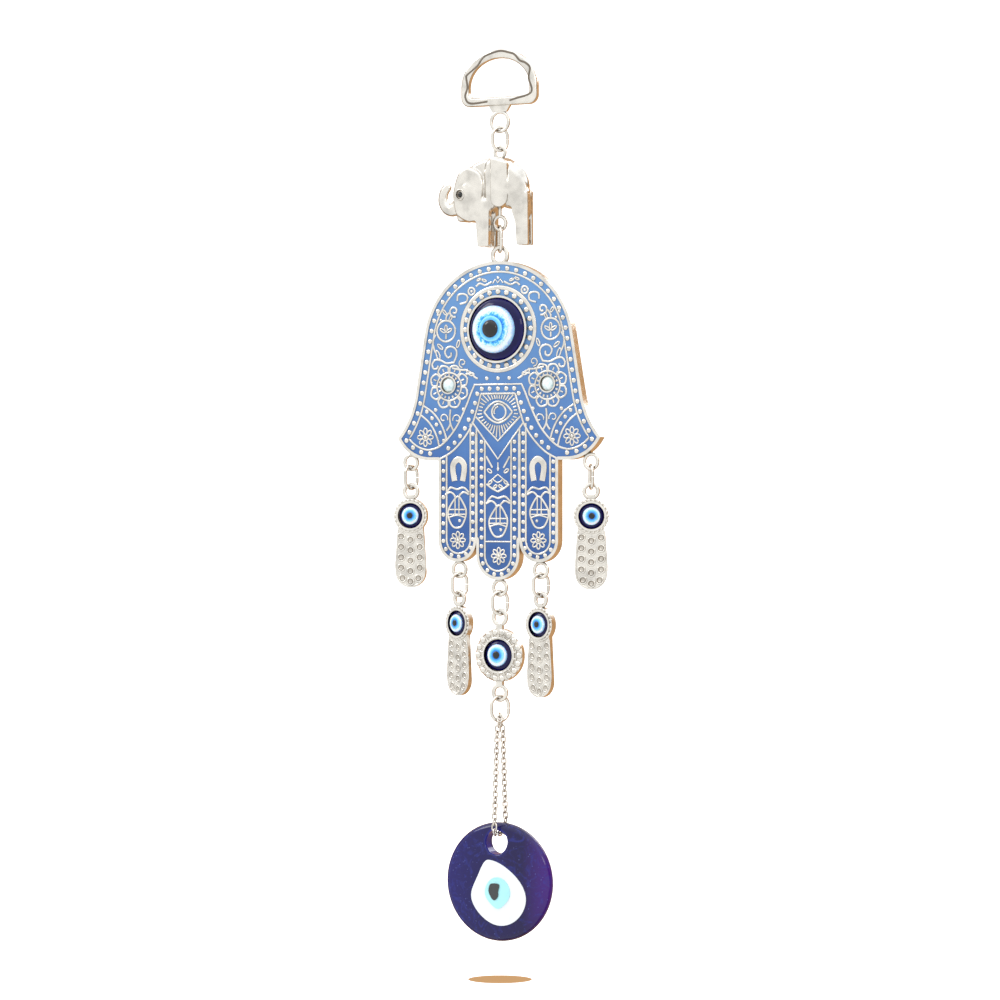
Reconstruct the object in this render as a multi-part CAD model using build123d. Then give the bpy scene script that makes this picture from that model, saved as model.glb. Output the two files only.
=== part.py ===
"""Evil eye wall hanging: a cast hanger, an elephant charm, an enamelled open hand with five pendants
and a glass disc on a doubled chain.  Millimetres, +Z up, the hand faces -Y.
Origin: the inside top of the hanger's opening, where the wall hook bears."""

import math
import os

from build123d import *

# ---- joints between pieces -------------------------------------------------------------------
PLAY = 0.16            # gap left where one ring rests on another
SEAT_GAP = 0.04        # gap round a resin eye or stone in its bezel
SEAM_GAP = 0.14        # slit where a bent link's wire ends meet

# ---- hanger ----------------------------------------------------------------------------------
HANGER_OPEN_WIDTH = 21.5
HANGER_OPEN_HEIGHT = 12.0
HANGER_BAND = 2.8
HANGER_DEPTH = 2.6
HANGER_EDGE = 0.9      # rounding of the band's edges
HANGER_SIDE = 3.2      # straight side below the arch
HANGER_CORNER = 1.6    # inside corner radius of the opening's foot
NECK_TOP_WIDTH = 7.6
NECK_FOOT_WIDTH = 5.0
NECK_DROP = 5.0        # band's underside to the eye's centre
HANGER_EYE_MAJOR = 3.05
HANGER_EYE_TUBE = 0.55

# ---- bent wire links -------------------------------------------------------------------------
LINK_WIRE = 0.5        # wire radius
LINK_LENGTH = 8.2
LINK_WIDTH = 6.0
MID_LINK_LENGTH = 9.0
LOWER_LINK_LENGTH = 8.8
LOWER_LINK_WIDTH = 7.2
TOP_LINK_TURN = 54.0   # turn of each link about the vertical, from the hand's own plane
MID_LINK_TURN = -52.0
THUMB_LEFT_LINK_TURN = 72.0
THUMB_RIGHT_LINK_TURN = -52.0
FINGER_LINK_TURN = 52.0
LOWER_LINK_TURN = 60.0

# ---- elephant --------------------------------------------------------------------------------
ELEPHANT_LOOP_MAJOR = 1.8
ELEPHANT_LOOP_TUBE = 0.5
BELLY_LOOP_MAJOR = 2.1
BELLY_LOOP_TUBE = 0.55
LOOP_SINK = 0.45         # how far the elephant's loops are cast into it
TORSO_HALF = 10.9        # half the length of the torso, rump to chest
TORSO_DEPTH = 8.6
TORSO_ROUND = 1.7
SHOULDER_DROP = 2.2      # back's highest place down to the shoulder
CROUP_DROP = 2.2
RUMP_DROP = 8.2
BELLY_DROP = 19.9        # top loop's centre to the belly
FOOT_DROP = 29.5
LEG_WIDTH = 4.4
LEG_GAP = 2.2            # gap between the near and far legs
HEAD_LENGTH = 9.6
HEAD_HEIGHT = 14.6
HEAD_DEPTH = 7.2
HEAD_REACH = 12.2        # top loop's axis to the head's centre
HEAD_DROP = 12.2
EAR_WIDTH = 7.4
EAR_HEIGHT = 15.4
EAR_DEPTH = 2.6
EAR_REACH = 9.0
EAR_STAND = 3.5          # ear's centre from the middle plane
TRUNK_BEND = 4.4
TRUNK_RADIUS = 1.75
TRUNK_TIP_RADIUS = 1.45
TRUNK_RISE = 4.6
ELEPHANT_EYE_RADIUS = 0.75
EYE_ABOVE_MIDDLE = 0.6   # eye's height above the head's middle

# ---- hand ------------------------------------------------------------------------------------
HAND_LOOP_MAJOR = 2.6
HAND_LOOP_TUBE = 0.68
HAND_LOOP_RISE = 1.8     # loop's centre above the plate's top edge
PLATE = 3.0              # whole thickness
POCKET = 0.5             # depth of the enamel pocket
ENAMEL = 0.26
RIM = 1.0
ARCH_RADIUS = 26.7
SIDE_LEAN = 9.9          # degrees by which the palm's sides spread
SIDE_LENGTH = 20.0
THUMB_REACH = 36.2       # middle line to a thumb's tip
THUMB_TIP_DROP = 55.2    # plate's top to a thumb's tip
PALM_FOOT_DROP = 62.2    # plate's top to the thumbs' underside
THUMB_SPRING = 24.5      # where the thumb's underside leaves the straight foot
FINGER_OUTER = 21.4
FINGER_INNER = 7.7
OUTER_FINGER_DROP = 94.1
MIDDLE_FINGER_DROP = 99.7
FINGER_WALL = 0.9
FINGER_WALL_DROP = 54.0
LUG_MAJOR = 2.3
LUG_TUBE = 0.55
LUG_SINK = 0.4           # how far a lug's ring is cast into the plate
THUMB_LUG_REACH = 32.2
THUMB_LUG_DROP = 62.8
EYE_DROP = 21.3          # plate's top to the centre eye
STONE_REACH = 17.7
STONE_DROP = 38.5
STONE_RADIUS = 2.4
STONE_HEIGHT = 1.3
STONE_WALL = 0.45

# ---- resin eyes: base radius, base height, white, iris and pupil radii, film thickness --------
CENTRE_EYE = {"radius": 9.9, "height": 5.5, "white": 7.6, "iris": 4.3, "pupil": 3.05, "film": 0.35}
CHARM_EYE = {"radius": 4.0, "height": 2.3, "white": 3.1, "iris": 2.3, "pupil": 1.3, "film": 0.2}
MEDALLION_EYE = {"radius": 5.0, "height": 3.0, "white": 3.9, "iris": 2.7, "pupil": 1.5, "film": 0.25}
BEZEL_WALL = 0.65
BEZEL_RISE = 0.8

# ---- charms ----------------------------------------------------------------------------------
CHARM_LOOP_MAJOR = 2.15
CHARM_LOOP_TUBE = 0.6
CHARM_EYE_DROP = 7.7
CHARM_DISC_RADIUS = 5.4
CHARM_DEPTH = 2.0
CHARM_BACK = 1.0
TAB_DEPTH = 1.6
TAB_NECK = 4.05
TAB_TOP_DROP = 3.2       # eye's centre to where the leaf begins
TAB_WIDEST = 4.85
TAB_WIDEST_DROP = 17.0   # eye's centre to the widest place
TAB_FOOT_DROP = 22.7
DIMPLE_RADIUS = 0.98
DIMPLE_DEPTH = 0.6
DIMPLE_PITCH = 3.3
DIMPLE_COLUMN = 3.05
LAST_ROW_COLUMN = 2.6
DIMPLE_STAGGER = 1.05
DIMPLE_ROWS = 5
FIRST_DIMPLE_DROP = 6.6
CHARM_TURNS = {"thumb_left": 15.0, "thumb_right": 29.0, "finger_left": -18.0, "finger_right": -13.0}

# ---- medallion -------------------------------------------------------------------------------
MEDALLION_RADIUS = 8.3
MEDALLION_DEPTH = 2.2
MEDALLION_BACK = 1.0
MEDALLION_LOOP_MAJOR = 2.25
MEDALLION_LOOP_TUBE = 0.6
MEDALLION_LOOP_DROP = 11.8

# ---- doubled chain ---------------------------------------------------------------------------
CHAIN_WIRE = 0.25        # wire radius
CHAIN_LINK_LENGTH = 2.78
CHAIN_LINK_WIDTH = 2.0
CHAIN_PLAY = 0.08
CHAIN_HALF_LINKS = 24    # links down one side, apex link to bottom link
CHAIN_SPLITS = [3, 6, 9, 12, 15, 18]   # last row of each length of chain but the last
CHAIN_TURNS = [40.0, 27.0, 14.0, 4.0]       # turn of the first rows; the rest lie fore and aft
CHAIN_BEND = 1.6

# ---- glass disc ------------------------------------------------------------------------------
DISC_RADIUS = 18.6
DISC_EDGE = 2.35
DISC_DOME = 1.1          # rise of the front face
HOLE_RADIUS = 3.8
HOLE_EDGE = 0.8
HOLE_MARGIN = 2.3        # glass left between the hole and the disc's rim
GLASS_FILM = 0.3
WHITE_TOP_GAP = 1.7      # hole's edge to the white patch's tip
WHITE_FOOT_GAP = 2.8     # white patch's foot to where the rounded edge begins
WHITE_SIDE_GAP = 6.6
WHITE_SHIFT = 1.2        # patches sit a little to the right of the middle
CYAN_WIDTH = 8.7
CYAN_HEIGHT = 9.8
PUPIL_WIDTH = 3.9
PUPIL_HEIGHT = 5.3
PUPIL_SHIFT = -1.0
PUPIL_RISE = 0.4
# outlines of the patches, as shares of half their width and height
WHITE_OUTLINE = [(-0.34, 1.0), (0.5, 0.64), (1.0, -0.15), (0.62, -0.82),
                 (0.02, -1.0), (-0.6, -0.75), (-1.0, -0.16), (-0.72, 0.55)]
CYAN_OUTLINE = [(0.0, 1.0), (0.8, 0.6), (1.0, -0.1), (0.5, -0.75),
                (0.0, -1.0), (-0.5, -0.75), (-1.0, -0.1), (-0.8, 0.6)]
PUPIL_OUTLINE = [(0.0, 1.0), (0.95, 0.7), (0.75, 0.1), (0.65, -0.6),
                 (0.0, -1.0), (-0.7, -0.5), (-1.0, 0.2), (-0.75, 0.8)]

# ---- places worked out from the sizes, top to bottom -----------------------------------------
BAND_FOOT_Z = -HANGER_OPEN_HEIGHT - HANGER_BAND
HANGER_EYE_Z = BAND_FOOT_Z - NECK_DROP


def wire_in_eye(eye_z, major, tube):
    """Height of a link's top wire resting in the foot of a ring."""
    return eye_z - major + tube + LINK_WIRE + PLAY


def eye_on_wire(wire_z, major, tube):
    """Height of the centre of a ring hung on a link's foot wire."""
    return wire_z + LINK_WIRE + tube + PLAY - major


def foot_wire(top_wire, length):
    """Height of a link's foot wire below its top wire."""
    return top_wire - (length - 2 * LINK_WIRE)


TOP_LINK_Z = wire_in_eye(HANGER_EYE_Z, HANGER_EYE_MAJOR, HANGER_EYE_TUBE)
TOP_LINK_FOOT_Z = foot_wire(TOP_LINK_Z, LINK_LENGTH)
ELEPHANT_Z = eye_on_wire(TOP_LINK_FOOT_Z, ELEPHANT_LOOP_MAJOR, ELEPHANT_LOOP_TUBE)
BACK_DROP = ELEPHANT_LOOP_MAJOR + ELEPHANT_LOOP_TUBE - LOOP_SINK
BELLY_LOOP_DROP = BELLY_DROP + BELLY_LOOP_MAJOR + BELLY_LOOP_TUBE - LOOP_SINK
BELLY_LOOP_Z = ELEPHANT_Z - BELLY_LOOP_DROP
MID_LINK_Z = wire_in_eye(BELLY_LOOP_Z, BELLY_LOOP_MAJOR, BELLY_LOOP_TUBE)
MID_LINK_FOOT_Z = foot_wire(MID_LINK_Z, MID_LINK_LENGTH)
HAND_LOOP_Z = eye_on_wire(MID_LINK_FOOT_Z, HAND_LOOP_MAJOR, HAND_LOOP_TUBE)
HAND_Z = HAND_LOOP_Z - HAND_LOOP_RISE
FRONT = -PLATE / 2
POCKET_FLOOR = FRONT + POCKET
LUG_HANG = LUG_MAJOR + LUG_TUBE - LUG_SINK
OUTER_FINGER_MIDDLE = (FINGER_OUTER + FINGER_INNER) / 2
LUGS = {
    "thumb_left": (-THUMB_LUG_REACH, HAND_Z - THUMB_LUG_DROP),
    "finger_left": (-OUTER_FINGER_MIDDLE, HAND_Z - OUTER_FINGER_DROP - LUG_HANG),
    "centre": (0.0, HAND_Z - MIDDLE_FINGER_DROP - LUG_HANG),
    "finger_right": (OUTER_FINGER_MIDDLE, HAND_Z - OUTER_FINGER_DROP - LUG_HANG),
    "thumb_right": (THUMB_LUG_REACH, HAND_Z - THUMB_LUG_DROP),
}
LINK_TURNS = {
    "thumb_left": THUMB_LEFT_LINK_TURN,
    "finger_left": FINGER_LINK_TURN,
    "centre": FINGER_LINK_TURN,
    "finger_right": FINGER_LINK_TURN,
    "thumb_right": THUMB_RIGHT_LINK_TURN,
}


def pendant_link_z(place):
    """Height of the top wire of the link in one of the hand's lugs."""
    return wire_in_eye(LUGS[place][1], LUG_MAJOR, LUG_TUBE)


def pendant_foot_z(place):
    return foot_wire(pendant_link_z(place), LINK_LENGTH)


def charm_z(place):
    """Height of a charm's loop."""
    return eye_on_wire(pendant_foot_z(place), CHARM_LOOP_MAJOR, CHARM_LOOP_TUBE)


MEDALLION_LOOP_Z = eye_on_wire(pendant_foot_z("centre"), MEDALLION_LOOP_MAJOR, MEDALLION_LOOP_TUBE)
MEDALLION_Z = MEDALLION_LOOP_Z - MEDALLION_LOOP_DROP
MEDALLION_FOOT_LOOP_Z = MEDALLION_Z - MEDALLION_LOOP_DROP
LOWER_LINK_Z = wire_in_eye(MEDALLION_FOOT_LOOP_Z, MEDALLION_LOOP_MAJOR, MEDALLION_LOOP_TUBE)
LOWER_LINK_FOOT_Z = foot_wire(LOWER_LINK_Z, LOWER_LINK_LENGTH)

CHAIN_PITCH = CHAIN_LINK_LENGTH - 4 * CHAIN_WIRE - CHAIN_PLAY
CHAIN_TOP_BEND = LINK_WIRE + CHAIN_LINK_WIDTH / 2 + PLAY
CHAIN_FOOT_SPREAD = DISC_EDGE + CHAIN_LINK_WIDTH / 2 + 2 * PLAY
CHAIN_FOOT_RUN = CHAIN_FOOT_SPREAD - CHAIN_BEND
CHAIN_SLANT = (CHAIN_HALF_LINKS * CHAIN_PITCH - math.pi / 2 * (CHAIN_TOP_BEND + CHAIN_BEND)
               - CHAIN_FOOT_RUN)
CHAIN_DROP = math.sqrt(CHAIN_SLANT ** 2 - (CHAIN_FOOT_SPREAD - CHAIN_TOP_BEND) ** 2)
CHAIN_FOOT_Z = LOWER_LINK_FOOT_Z - CHAIN_DROP - CHAIN_BEND
HOLE_OFFSET = DISC_RADIUS - HOLE_MARGIN - HOLE_RADIUS
HOLE_TOP_Z = CHAIN_FOOT_Z + CHAIN_LINK_WIDTH / 2 + PLAY
DISC_Z = HOLE_TOP_Z - HOLE_RADIUS - HOLE_OFFSET
DISC_FLAT = DISC_RADIUS - DISC_EDGE
DOME_RADIUS = (DISC_FLAT ** 2 + DISC_DOME ** 2) / (2 * DISC_DOME)


def upright(shape):
    """Stand a shape drawn in XY up in XZ, its +Z towards the front."""
    return Rot(90, 0, 0) * shape


def upright_ring(major, tube):
    """A round-section ring standing in the XZ plane, centred on the origin."""
    return upright(Torus(major, tube))


def oval_link(length, width, wire):
    """A link of round wire in the XZ plane, long way up, centred on the origin."""
    bend = width / 2 - wire
    straight = (length - width) / 2
    path = Wire([
        Line((bend, 0, -straight), (bend, 0, straight)),
        ThreePointArc((bend, 0, straight), (0, 0, straight + bend), (-bend, 0, straight)),
        Line((-bend, 0, straight), (-bend, 0, -straight)),
        ThreePointArc((-bend, 0, -straight), (0, 0, -straight - bend), (bend, 0, -straight)),
    ])
    section = Plane(origin=(bend, 0, -straight), z_dir=(0, 0, 1)) * Circle(wire)
    return sweep(section, path)


def bent_link(length, width):
    """A link bent from wire, with the slit where its ends meet half way down one side."""
    slit = Pos(width / 2 - LINK_WIRE, 0, 0) * Box(4 * LINK_WIRE, 4 * LINK_WIRE, SEAM_GAP)
    return oval_link(length, width, LINK_WIRE) - slit


def hung_link(x, top_wire, length, width, turn):
    """A bent link placed by its top wire and turned about the vertical."""
    centre_z = top_wire + LINK_WIRE - length / 2
    return Pos(x, 0, centre_z) * Rot(0, 0, turn) * bent_link(length, width)


def resin_eye(sizes):
    """The four cast layers of an eye, rising along +Z from its base plane."""
    radius, height, film = sizes["radius"], sizes["height"], sizes["film"]
    dome = (radius ** 2 + height ** 2) / (2 * height)
    centre = Pos(0, 0, height - dome)
    above = Pos(0, 0, dome) * Box(4 * dome, 4 * dome, 2 * dome)
    layers = {"base": centre * Sphere(dome) & above}
    inner = dome
    for name in ("white", "iris", "pupil"):
        shell = centre * Sphere(inner + film) - centre * Sphere(inner)
        column = Cylinder(sizes[name], dome, align=(Align.CENTER, Align.CENTER, Align.MIN))
        layers[name] = shell & column
        inner += film
    return layers


def add_eye(parts, prefix, sizes, place):
    for name, layer in resin_eye(sizes).items():
        parts[f"{prefix}_{name}"] = place * upright(layer)


# ---- hanger ----------------------------------------------------------------------------------
def d_outline(growth):
    """The opening's D, or with growth the band's outer edge; the arch's centre is the origin."""
    half = HANGER_OPEN_WIDTH / 2 + growth
    rise = HANGER_OPEN_HEIGHT - HANGER_SIDE + growth
    foot = -HANGER_SIDE - growth
    corner = HANGER_CORNER + growth / 2
    inset = corner * (1 - math.sqrt(0.5))
    edges = [EllipticalCenterArc((0, 0), half, rise, start_angle=0, arc_size=180),
             Line((half - corner, foot), (corner - half, foot))]
    for side in (-1, 1):
        edges.append(Line((side * half, 0), (side * half, foot + corner)))
        edges.append(ThreePointArc((side * half, foot + corner), (side * (half - inset), foot + inset),
                                   (side * (half - corner), foot)))
    return make_face(edges)


def make_hanger():
    arch = Pos(0, HANGER_SIDE - HANGER_OPEN_HEIGHT)
    opening = arch * d_outline(0)
    outer = arch * d_outline(HANGER_BAND)
    band = extrude(outer - opening, HANGER_DEPTH / 2, both=True)
    band = fillet(band.edges().filter_by(Plane.XY), HANGER_EDGE)
    neck_foot = HANGER_EYE_Z + HANGER_EYE_MAJOR
    neck_face = make_face(Polyline([
        (-NECK_TOP_WIDTH / 2, BAND_FOOT_Z + HANGER_BAND / 2),
        (NECK_TOP_WIDTH / 2, BAND_FOOT_Z + HANGER_BAND / 2),
        (NECK_TOP_WIDTH / 2, BAND_FOOT_Z),
        (NECK_FOOT_WIDTH / 2, neck_foot),
        (-NECK_FOOT_WIDTH / 2, neck_foot),
        (-NECK_TOP_WIDTH / 2, BAND_FOOT_Z),
    ], close=True))
    neck = extrude(neck_face, HANGER_EYE_TUBE, both=True)
    eye = Pos(0, 0, HANGER_EYE_Z) * upright_ring(HANGER_EYE_MAJOR, HANGER_EYE_TUBE)
    return upright(band + neck) + eye


# ---- elephant --------------------------------------------------------------------------------
def elephant_torso():
    """Back, rump and legs, as a side outline given its depth and rounded."""
    back = -BACK_DROP
    shoulder = back - SHOULDER_DROP
    rump = back - RUMP_DROP
    leg_inner = TORSO_HALF - LEG_WIDTH
    chest = -TORSO_HALF + LEG_WIDTH / 2
    arch_foot = -BELLY_DROP - LEG_WIDTH / 2
    edges = [
        Spline([(chest, shoulder), (-TORSO_HALF / 4, back), (TORSO_HALF / 2, back - CROUP_DROP),
                (TORSO_HALF, rump)], tangents=[(2, 1), (0, -1)]),
        Line((TORSO_HALF, rump), (TORSO_HALF, -FOOT_DROP)),
        Line((TORSO_HALF, -FOOT_DROP), (leg_inner, -FOOT_DROP)),
        Line((leg_inner, -FOOT_DROP), (leg_inner, arch_foot)),
        ThreePointArc((leg_inner, arch_foot), ((leg_inner + chest + LEG_WIDTH) / 2, -BELLY_DROP),
                      (chest + LEG_WIDTH, arch_foot)),
        Line((chest + LEG_WIDTH, arch_foot), (chest + LEG_WIDTH, -FOOT_DROP)),
        Line((chest + LEG_WIDTH, -FOOT_DROP), (chest, -FOOT_DROP)),
        Line((chest, -FOOT_DROP), (chest, shoulder)),
    ]
    solid = extrude(make_face(edges), TORSO_DEPTH / 2, both=True)
    solid = fillet(solid.edges().filter_by(Plane.XY), TORSO_ROUND)
    between = Pos(0, (arch_foot - FOOT_DROP) / 2) * Box(4 * TORSO_HALF, FOOT_DROP + arch_foot, LEG_GAP)
    return solid - between


def pebble(length, height, depth, rounding):
    """An oval slab with rounded edges, flat in XY."""
    slab = extrude(Ellipse(length / 2, height / 2), depth / 2, both=True)
    return fillet(slab.edges().filter_by(Plane.XY), rounding)


def elephant_trunk():
    """The trunk's bend below the mouth and its raised end, flat in XY."""
    bend_x = -HEAD_REACH - HEAD_LENGTH / 4
    bend_y = -HEAD_DROP - HEAD_HEIGHT / 2 + TRUNK_RADIUS / 2 + TRUNK_BEND
    bend = Pos(bend_x, bend_y) * Rot(0, 0, 180) * Torus(TRUNK_BEND, TRUNK_RADIUS, major_angle=90)
    rise = Cone(TRUNK_RADIUS, TRUNK_TIP_RADIUS, TRUNK_RISE,
                align=(Align.CENTER, Align.CENTER, Align.MIN))
    return bend + Pos(bend_x - TRUNK_BEND, bend_y) * Rot(-90, 0, 0) * rise


def make_elephant():
    head = pebble(HEAD_LENGTH, HEAD_HEIGHT, HEAD_DEPTH, HEAD_DEPTH / 3)
    casting = elephant_torso() + Pos(-HEAD_REACH, -HEAD_DROP) * head + elephant_trunk()
    for side in (-1, 1):
        ear = pebble(EAR_WIDTH, EAR_HEIGHT, EAR_DEPTH, EAR_DEPTH / 3)
        casting += Pos(-EAR_REACH, -HEAD_DROP, side * EAR_STAND) * ear
    casting += Torus(ELEPHANT_LOOP_MAJOR, ELEPHANT_LOOP_TUBE)
    casting += Pos(0, -BELLY_LOOP_DROP) * Torus(BELLY_LOOP_MAJOR, BELLY_LOOP_TUBE)
    eyes = [Pos(-HEAD_REACH - HEAD_LENGTH / 6, EYE_ABOVE_MIDDLE - HEAD_DROP, side * HEAD_DEPTH / 2)
            * Sphere(ELEPHANT_EYE_RADIUS) for side in (-1, 1)]
    for eye in eyes:
        casting -= eye
    place = Pos(0, 0, ELEPHANT_Z)
    return place * upright(casting), Compound([place * upright(eye) for eye in eyes])


# ---- hand ------------------------------------------------------------------------------------
def half_hand():
    """Right half of the palm and the outer finger, flat in XY with y as height; top edge at y = 0."""
    lean = math.radians(SIDE_LEAN)
    shoulder = (ARCH_RADIUS * math.cos(lean), -ARCH_RADIUS * (1 - math.sin(lean)))
    flare = (shoulder[0] + SIDE_LENGTH * math.sin(lean), shoulder[1] - SIDE_LENGTH * math.cos(lean))
    tip = (THUMB_REACH, -THUMB_TIP_DROP)
    spring = (THUMB_SPRING, -PALM_FOOT_DROP)
    round_radius = (FINGER_OUTER - FINGER_INNER) / 2
    finger_end = -OUTER_FINGER_DROP + round_radius
    middle = OUTER_FINGER_MIDDLE
    top_angle = math.radians(90 - (90 - SIDE_LEAN) / 2)
    crown = (ARCH_RADIUS * math.cos(top_angle), -ARCH_RADIUS * (1 - math.sin(top_angle)))
    edges = [
        ThreePointArc((0, 0), crown, shoulder),
        Line(shoulder, flare),
        TangentArc(flare, tip, tangent=(math.sin(lean), -math.cos(lean))),
        TangentArc(spring, tip, tangent=(1, 0)),
        Line(spring, (FINGER_OUTER, -PALM_FOOT_DROP)),
        Line((FINGER_OUTER, -PALM_FOOT_DROP), (FINGER_OUTER, finger_end)),
        ThreePointArc((FINGER_OUTER, finger_end), (middle, -OUTER_FINGER_DROP),
                      (FINGER_INNER, finger_end)),
        Line((FINGER_INNER, finger_end), (0, finger_end)),
        Line((0, finger_end), (0, 0)),
    ]
    return make_face(edges)


def hand_face():
    right = half_hand()
    bar = Pos(0, -MIDDLE_FINGER_DROP + 2 * FINGER_INNER) * Rectangle(2 * FINGER_INNER, 2 * FINGER_INNER)
    tip = Pos(0, -MIDDLE_FINGER_DROP + FINGER_INNER) * Circle(FINGER_INNER)
    return right + mirror(right, Plane.YZ) + bar + tip


def pocket_face():
    """The enamelled area: the hand less its rim, the walls between fingers, the bezels and seats."""
    area = offset(hand_face(), -RIM)
    top = -FINGER_WALL_DROP
    foot = -OUTER_FINGER_DROP
    for side in (-1, 1):
        wall = Pos(side * FINGER_INNER, (top + foot) / 2) * Rectangle(FINGER_WALL, top - foot)
        seat = Pos(side * STONE_REACH, -STONE_DROP) * Circle(STONE_RADIUS + SEAT_GAP + STONE_WALL)
        area = area - wall - seat
    return area - Pos(0, -EYE_DROP) * Circle(CENTRE_EYE["radius"] + SEAT_GAP + BEZEL_WALL)


def round_wall(inner, wall, height):
    return extrude(Circle(inner + wall) - Circle(inner), height)


def make_hand(parts):
    place = Pos(0, 0, HAND_Z)
    plate = extrude(hand_face(), PLATE / 2, both=True)
    pocket = Pos(0, 0, -POCKET_FLOOR) * extrude(pocket_face(), POCKET)
    plate -= pocket
    floor = -POCKET_FLOOR
    bezel_inner = CENTRE_EYE["radius"] + SEAT_GAP
    eye_recess = Pos(0, -EYE_DROP, floor) * extrude(Circle(bezel_inner), POCKET)
    bezel = Pos(0, -EYE_DROP, floor) * round_wall(bezel_inner, BEZEL_WALL, POCKET + BEZEL_RISE)
    plate = plate - eye_recess + bezel
    stones = []
    for side in (-1, 1):
        seat = Pos(side * STONE_REACH, -STONE_DROP, floor)
        plate -= seat * extrude(Circle(STONE_RADIUS + SEAT_GAP), POCKET)
        plate += seat * round_wall(STONE_RADIUS + SEAT_GAP, STONE_WALL, POCKET + STONE_WALL)
        dome = (STONE_RADIUS ** 2 + STONE_HEIGHT ** 2) / (2 * STONE_HEIGHT)
        above = Pos(0, 0, dome) * Box(2 * dome, 2 * dome, 2 * dome)
        cap = Pos(0, 0, STONE_HEIGHT - dome) * Sphere(dome) & above
        stones.append(place * upright(seat * cap))
    casting = upright(plate)
    loop = Pos(0, 0, HAND_LOOP_RISE) * upright_ring(HAND_LOOP_MAJOR, HAND_LOOP_TUBE)
    casting = place * (casting + loop)
    for x, z in LUGS.values():
        casting += Pos(x, 0, z) * upright_ring(LUG_MAJOR, LUG_TUBE)
    parts["hand_casting"] = casting
    parts["hand_enamel"] = place * upright(Pos(0, 0, floor) * extrude(pocket_face(), ENAMEL))
    parts["flower_stones"] = Compound(stones)
    add_eye(parts, "centre_eye", CENTRE_EYE, place * Pos(0, -floor, -EYE_DROP))


# ---- charms ----------------------------------------------------------------------------------
def tab_face():
    """Outline of a charm's leaf, flat in XY, its eye's centre at the origin."""
    neck_y = -TAB_TOP_DROP
    wide_y = -TAB_WIDEST_DROP
    return make_face([
        Line((-TAB_NECK, neck_y), (TAB_NECK, neck_y)),
        Line((TAB_NECK, neck_y), (TAB_WIDEST, wide_y)),
        ThreePointArc((TAB_WIDEST, wide_y), (0, -TAB_FOOT_DROP), (-TAB_WIDEST, wide_y)),
        Line((-TAB_WIDEST, wide_y), (-TAB_NECK, neck_y)),
    ])


def make_charm():
    """One charm's casting, its loop's centre at the origin, flat in XY with +Z to the front."""
    loop = Torus(CHARM_LOOP_MAJOR, CHARM_LOOP_TUBE)
    seat_radius = CHARM_EYE["radius"] + SEAT_GAP
    floor = CHARM_BACK - CHARM_DEPTH / 2
    disc = extrude(Circle(CHARM_DISC_RADIUS), CHARM_DEPTH / 2, both=True)
    disc -= Pos(0, 0, floor) * extrude(Circle(seat_radius), CHARM_DEPTH)
    wall_height = CHARM_DEPTH / 2 - floor + BEZEL_RISE / 2
    disc += Pos(0, 0, floor) * round_wall(seat_radius, BEZEL_WALL, wall_height)
    tab = extrude(tab_face() - Circle(seat_radius), TAB_DEPTH / 2, both=True)
    dimple_ball = (DIMPLE_RADIUS ** 2 + DIMPLE_DEPTH ** 2) / (2 * DIMPLE_DEPTH)
    for row in range(DIMPLE_ROWS):
        for column in (-1, 0, 1):
            y = -FIRST_DIMPLE_DROP - row * DIMPLE_PITCH - (DIMPLE_STAGGER if column == 0 else 0)
            spread = DIMPLE_COLUMN if row < DIMPLE_ROWS - 1 else LAST_ROW_COLUMN
            ball = Pos(column * spread, y, TAB_DEPTH / 2 + dimple_ball - DIMPLE_DEPTH)
            tab -= ball * Sphere(dimple_ball)
    neck_drop = CHARM_EYE_DROP - CHARM_DISC_RADIUS
    neck = Pos(0, -neck_drop) * Box(CHARM_LOOP_MAJOR, neck_drop, 2 * CHARM_LOOP_TUBE)
    return loop + neck + Pos(0, -CHARM_EYE_DROP) * (disc + tab)


def make_charms(parts):
    casting = upright(make_charm())
    floor = CHARM_BACK - CHARM_DEPTH / 2
    for name, turn in CHARM_TURNS.items():
        place = Pos(LUGS[name][0], 0, charm_z(name)) * Rot(0, 0, turn)
        parts[f"charm_{name}"] = place * casting
        add_eye(parts, f"eye_{name}", CHARM_EYE, place * Pos(0, -floor, -CHARM_EYE_DROP))


# ---- medallion -------------------------------------------------------------------------------
def make_medallion(parts):
    seat_radius = MEDALLION_EYE["radius"] + SEAT_GAP
    floor = MEDALLION_BACK - MEDALLION_DEPTH / 2
    disc = extrude(Circle(MEDALLION_RADIUS), MEDALLION_DEPTH / 2, both=True)
    disc = chamfer(disc.edges().sort_by(Axis.Z)[-1], MEDALLION_DEPTH / 4)
    disc -= Pos(0, 0, floor) * extrude(Circle(seat_radius), MEDALLION_DEPTH)
    wall_height = MEDALLION_DEPTH / 2 - floor + BEZEL_RISE / 2
    disc += Pos(0, 0, floor) * round_wall(seat_radius, BEZEL_WALL, wall_height)
    for side in (-1, 1):
        loop = Pos(0, side * MEDALLION_LOOP_DROP) * Torus(MEDALLION_LOOP_MAJOR, MEDALLION_LOOP_TUBE)
        neck_length = MEDALLION_LOOP_DROP - MEDALLION_LOOP_MAJOR - MEDALLION_RADIUS + MEDALLION_LOOP_TUBE
        neck_y = side * (MEDALLION_RADIUS + neck_length / 2 - MEDALLION_LOOP_TUBE)
        neck = Pos(0, neck_y) * Box(MEDALLION_LOOP_MAJOR, neck_length, 2 * MEDALLION_LOOP_TUBE)
        disc = disc + loop + neck
    place = Pos(0, 0, MEDALLION_Z)
    parts["medallion_casting"] = place * upright(disc)
    add_eye(parts, "medallion_eye", MEDALLION_EYE, place * Pos(0, -floor, 0))


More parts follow.
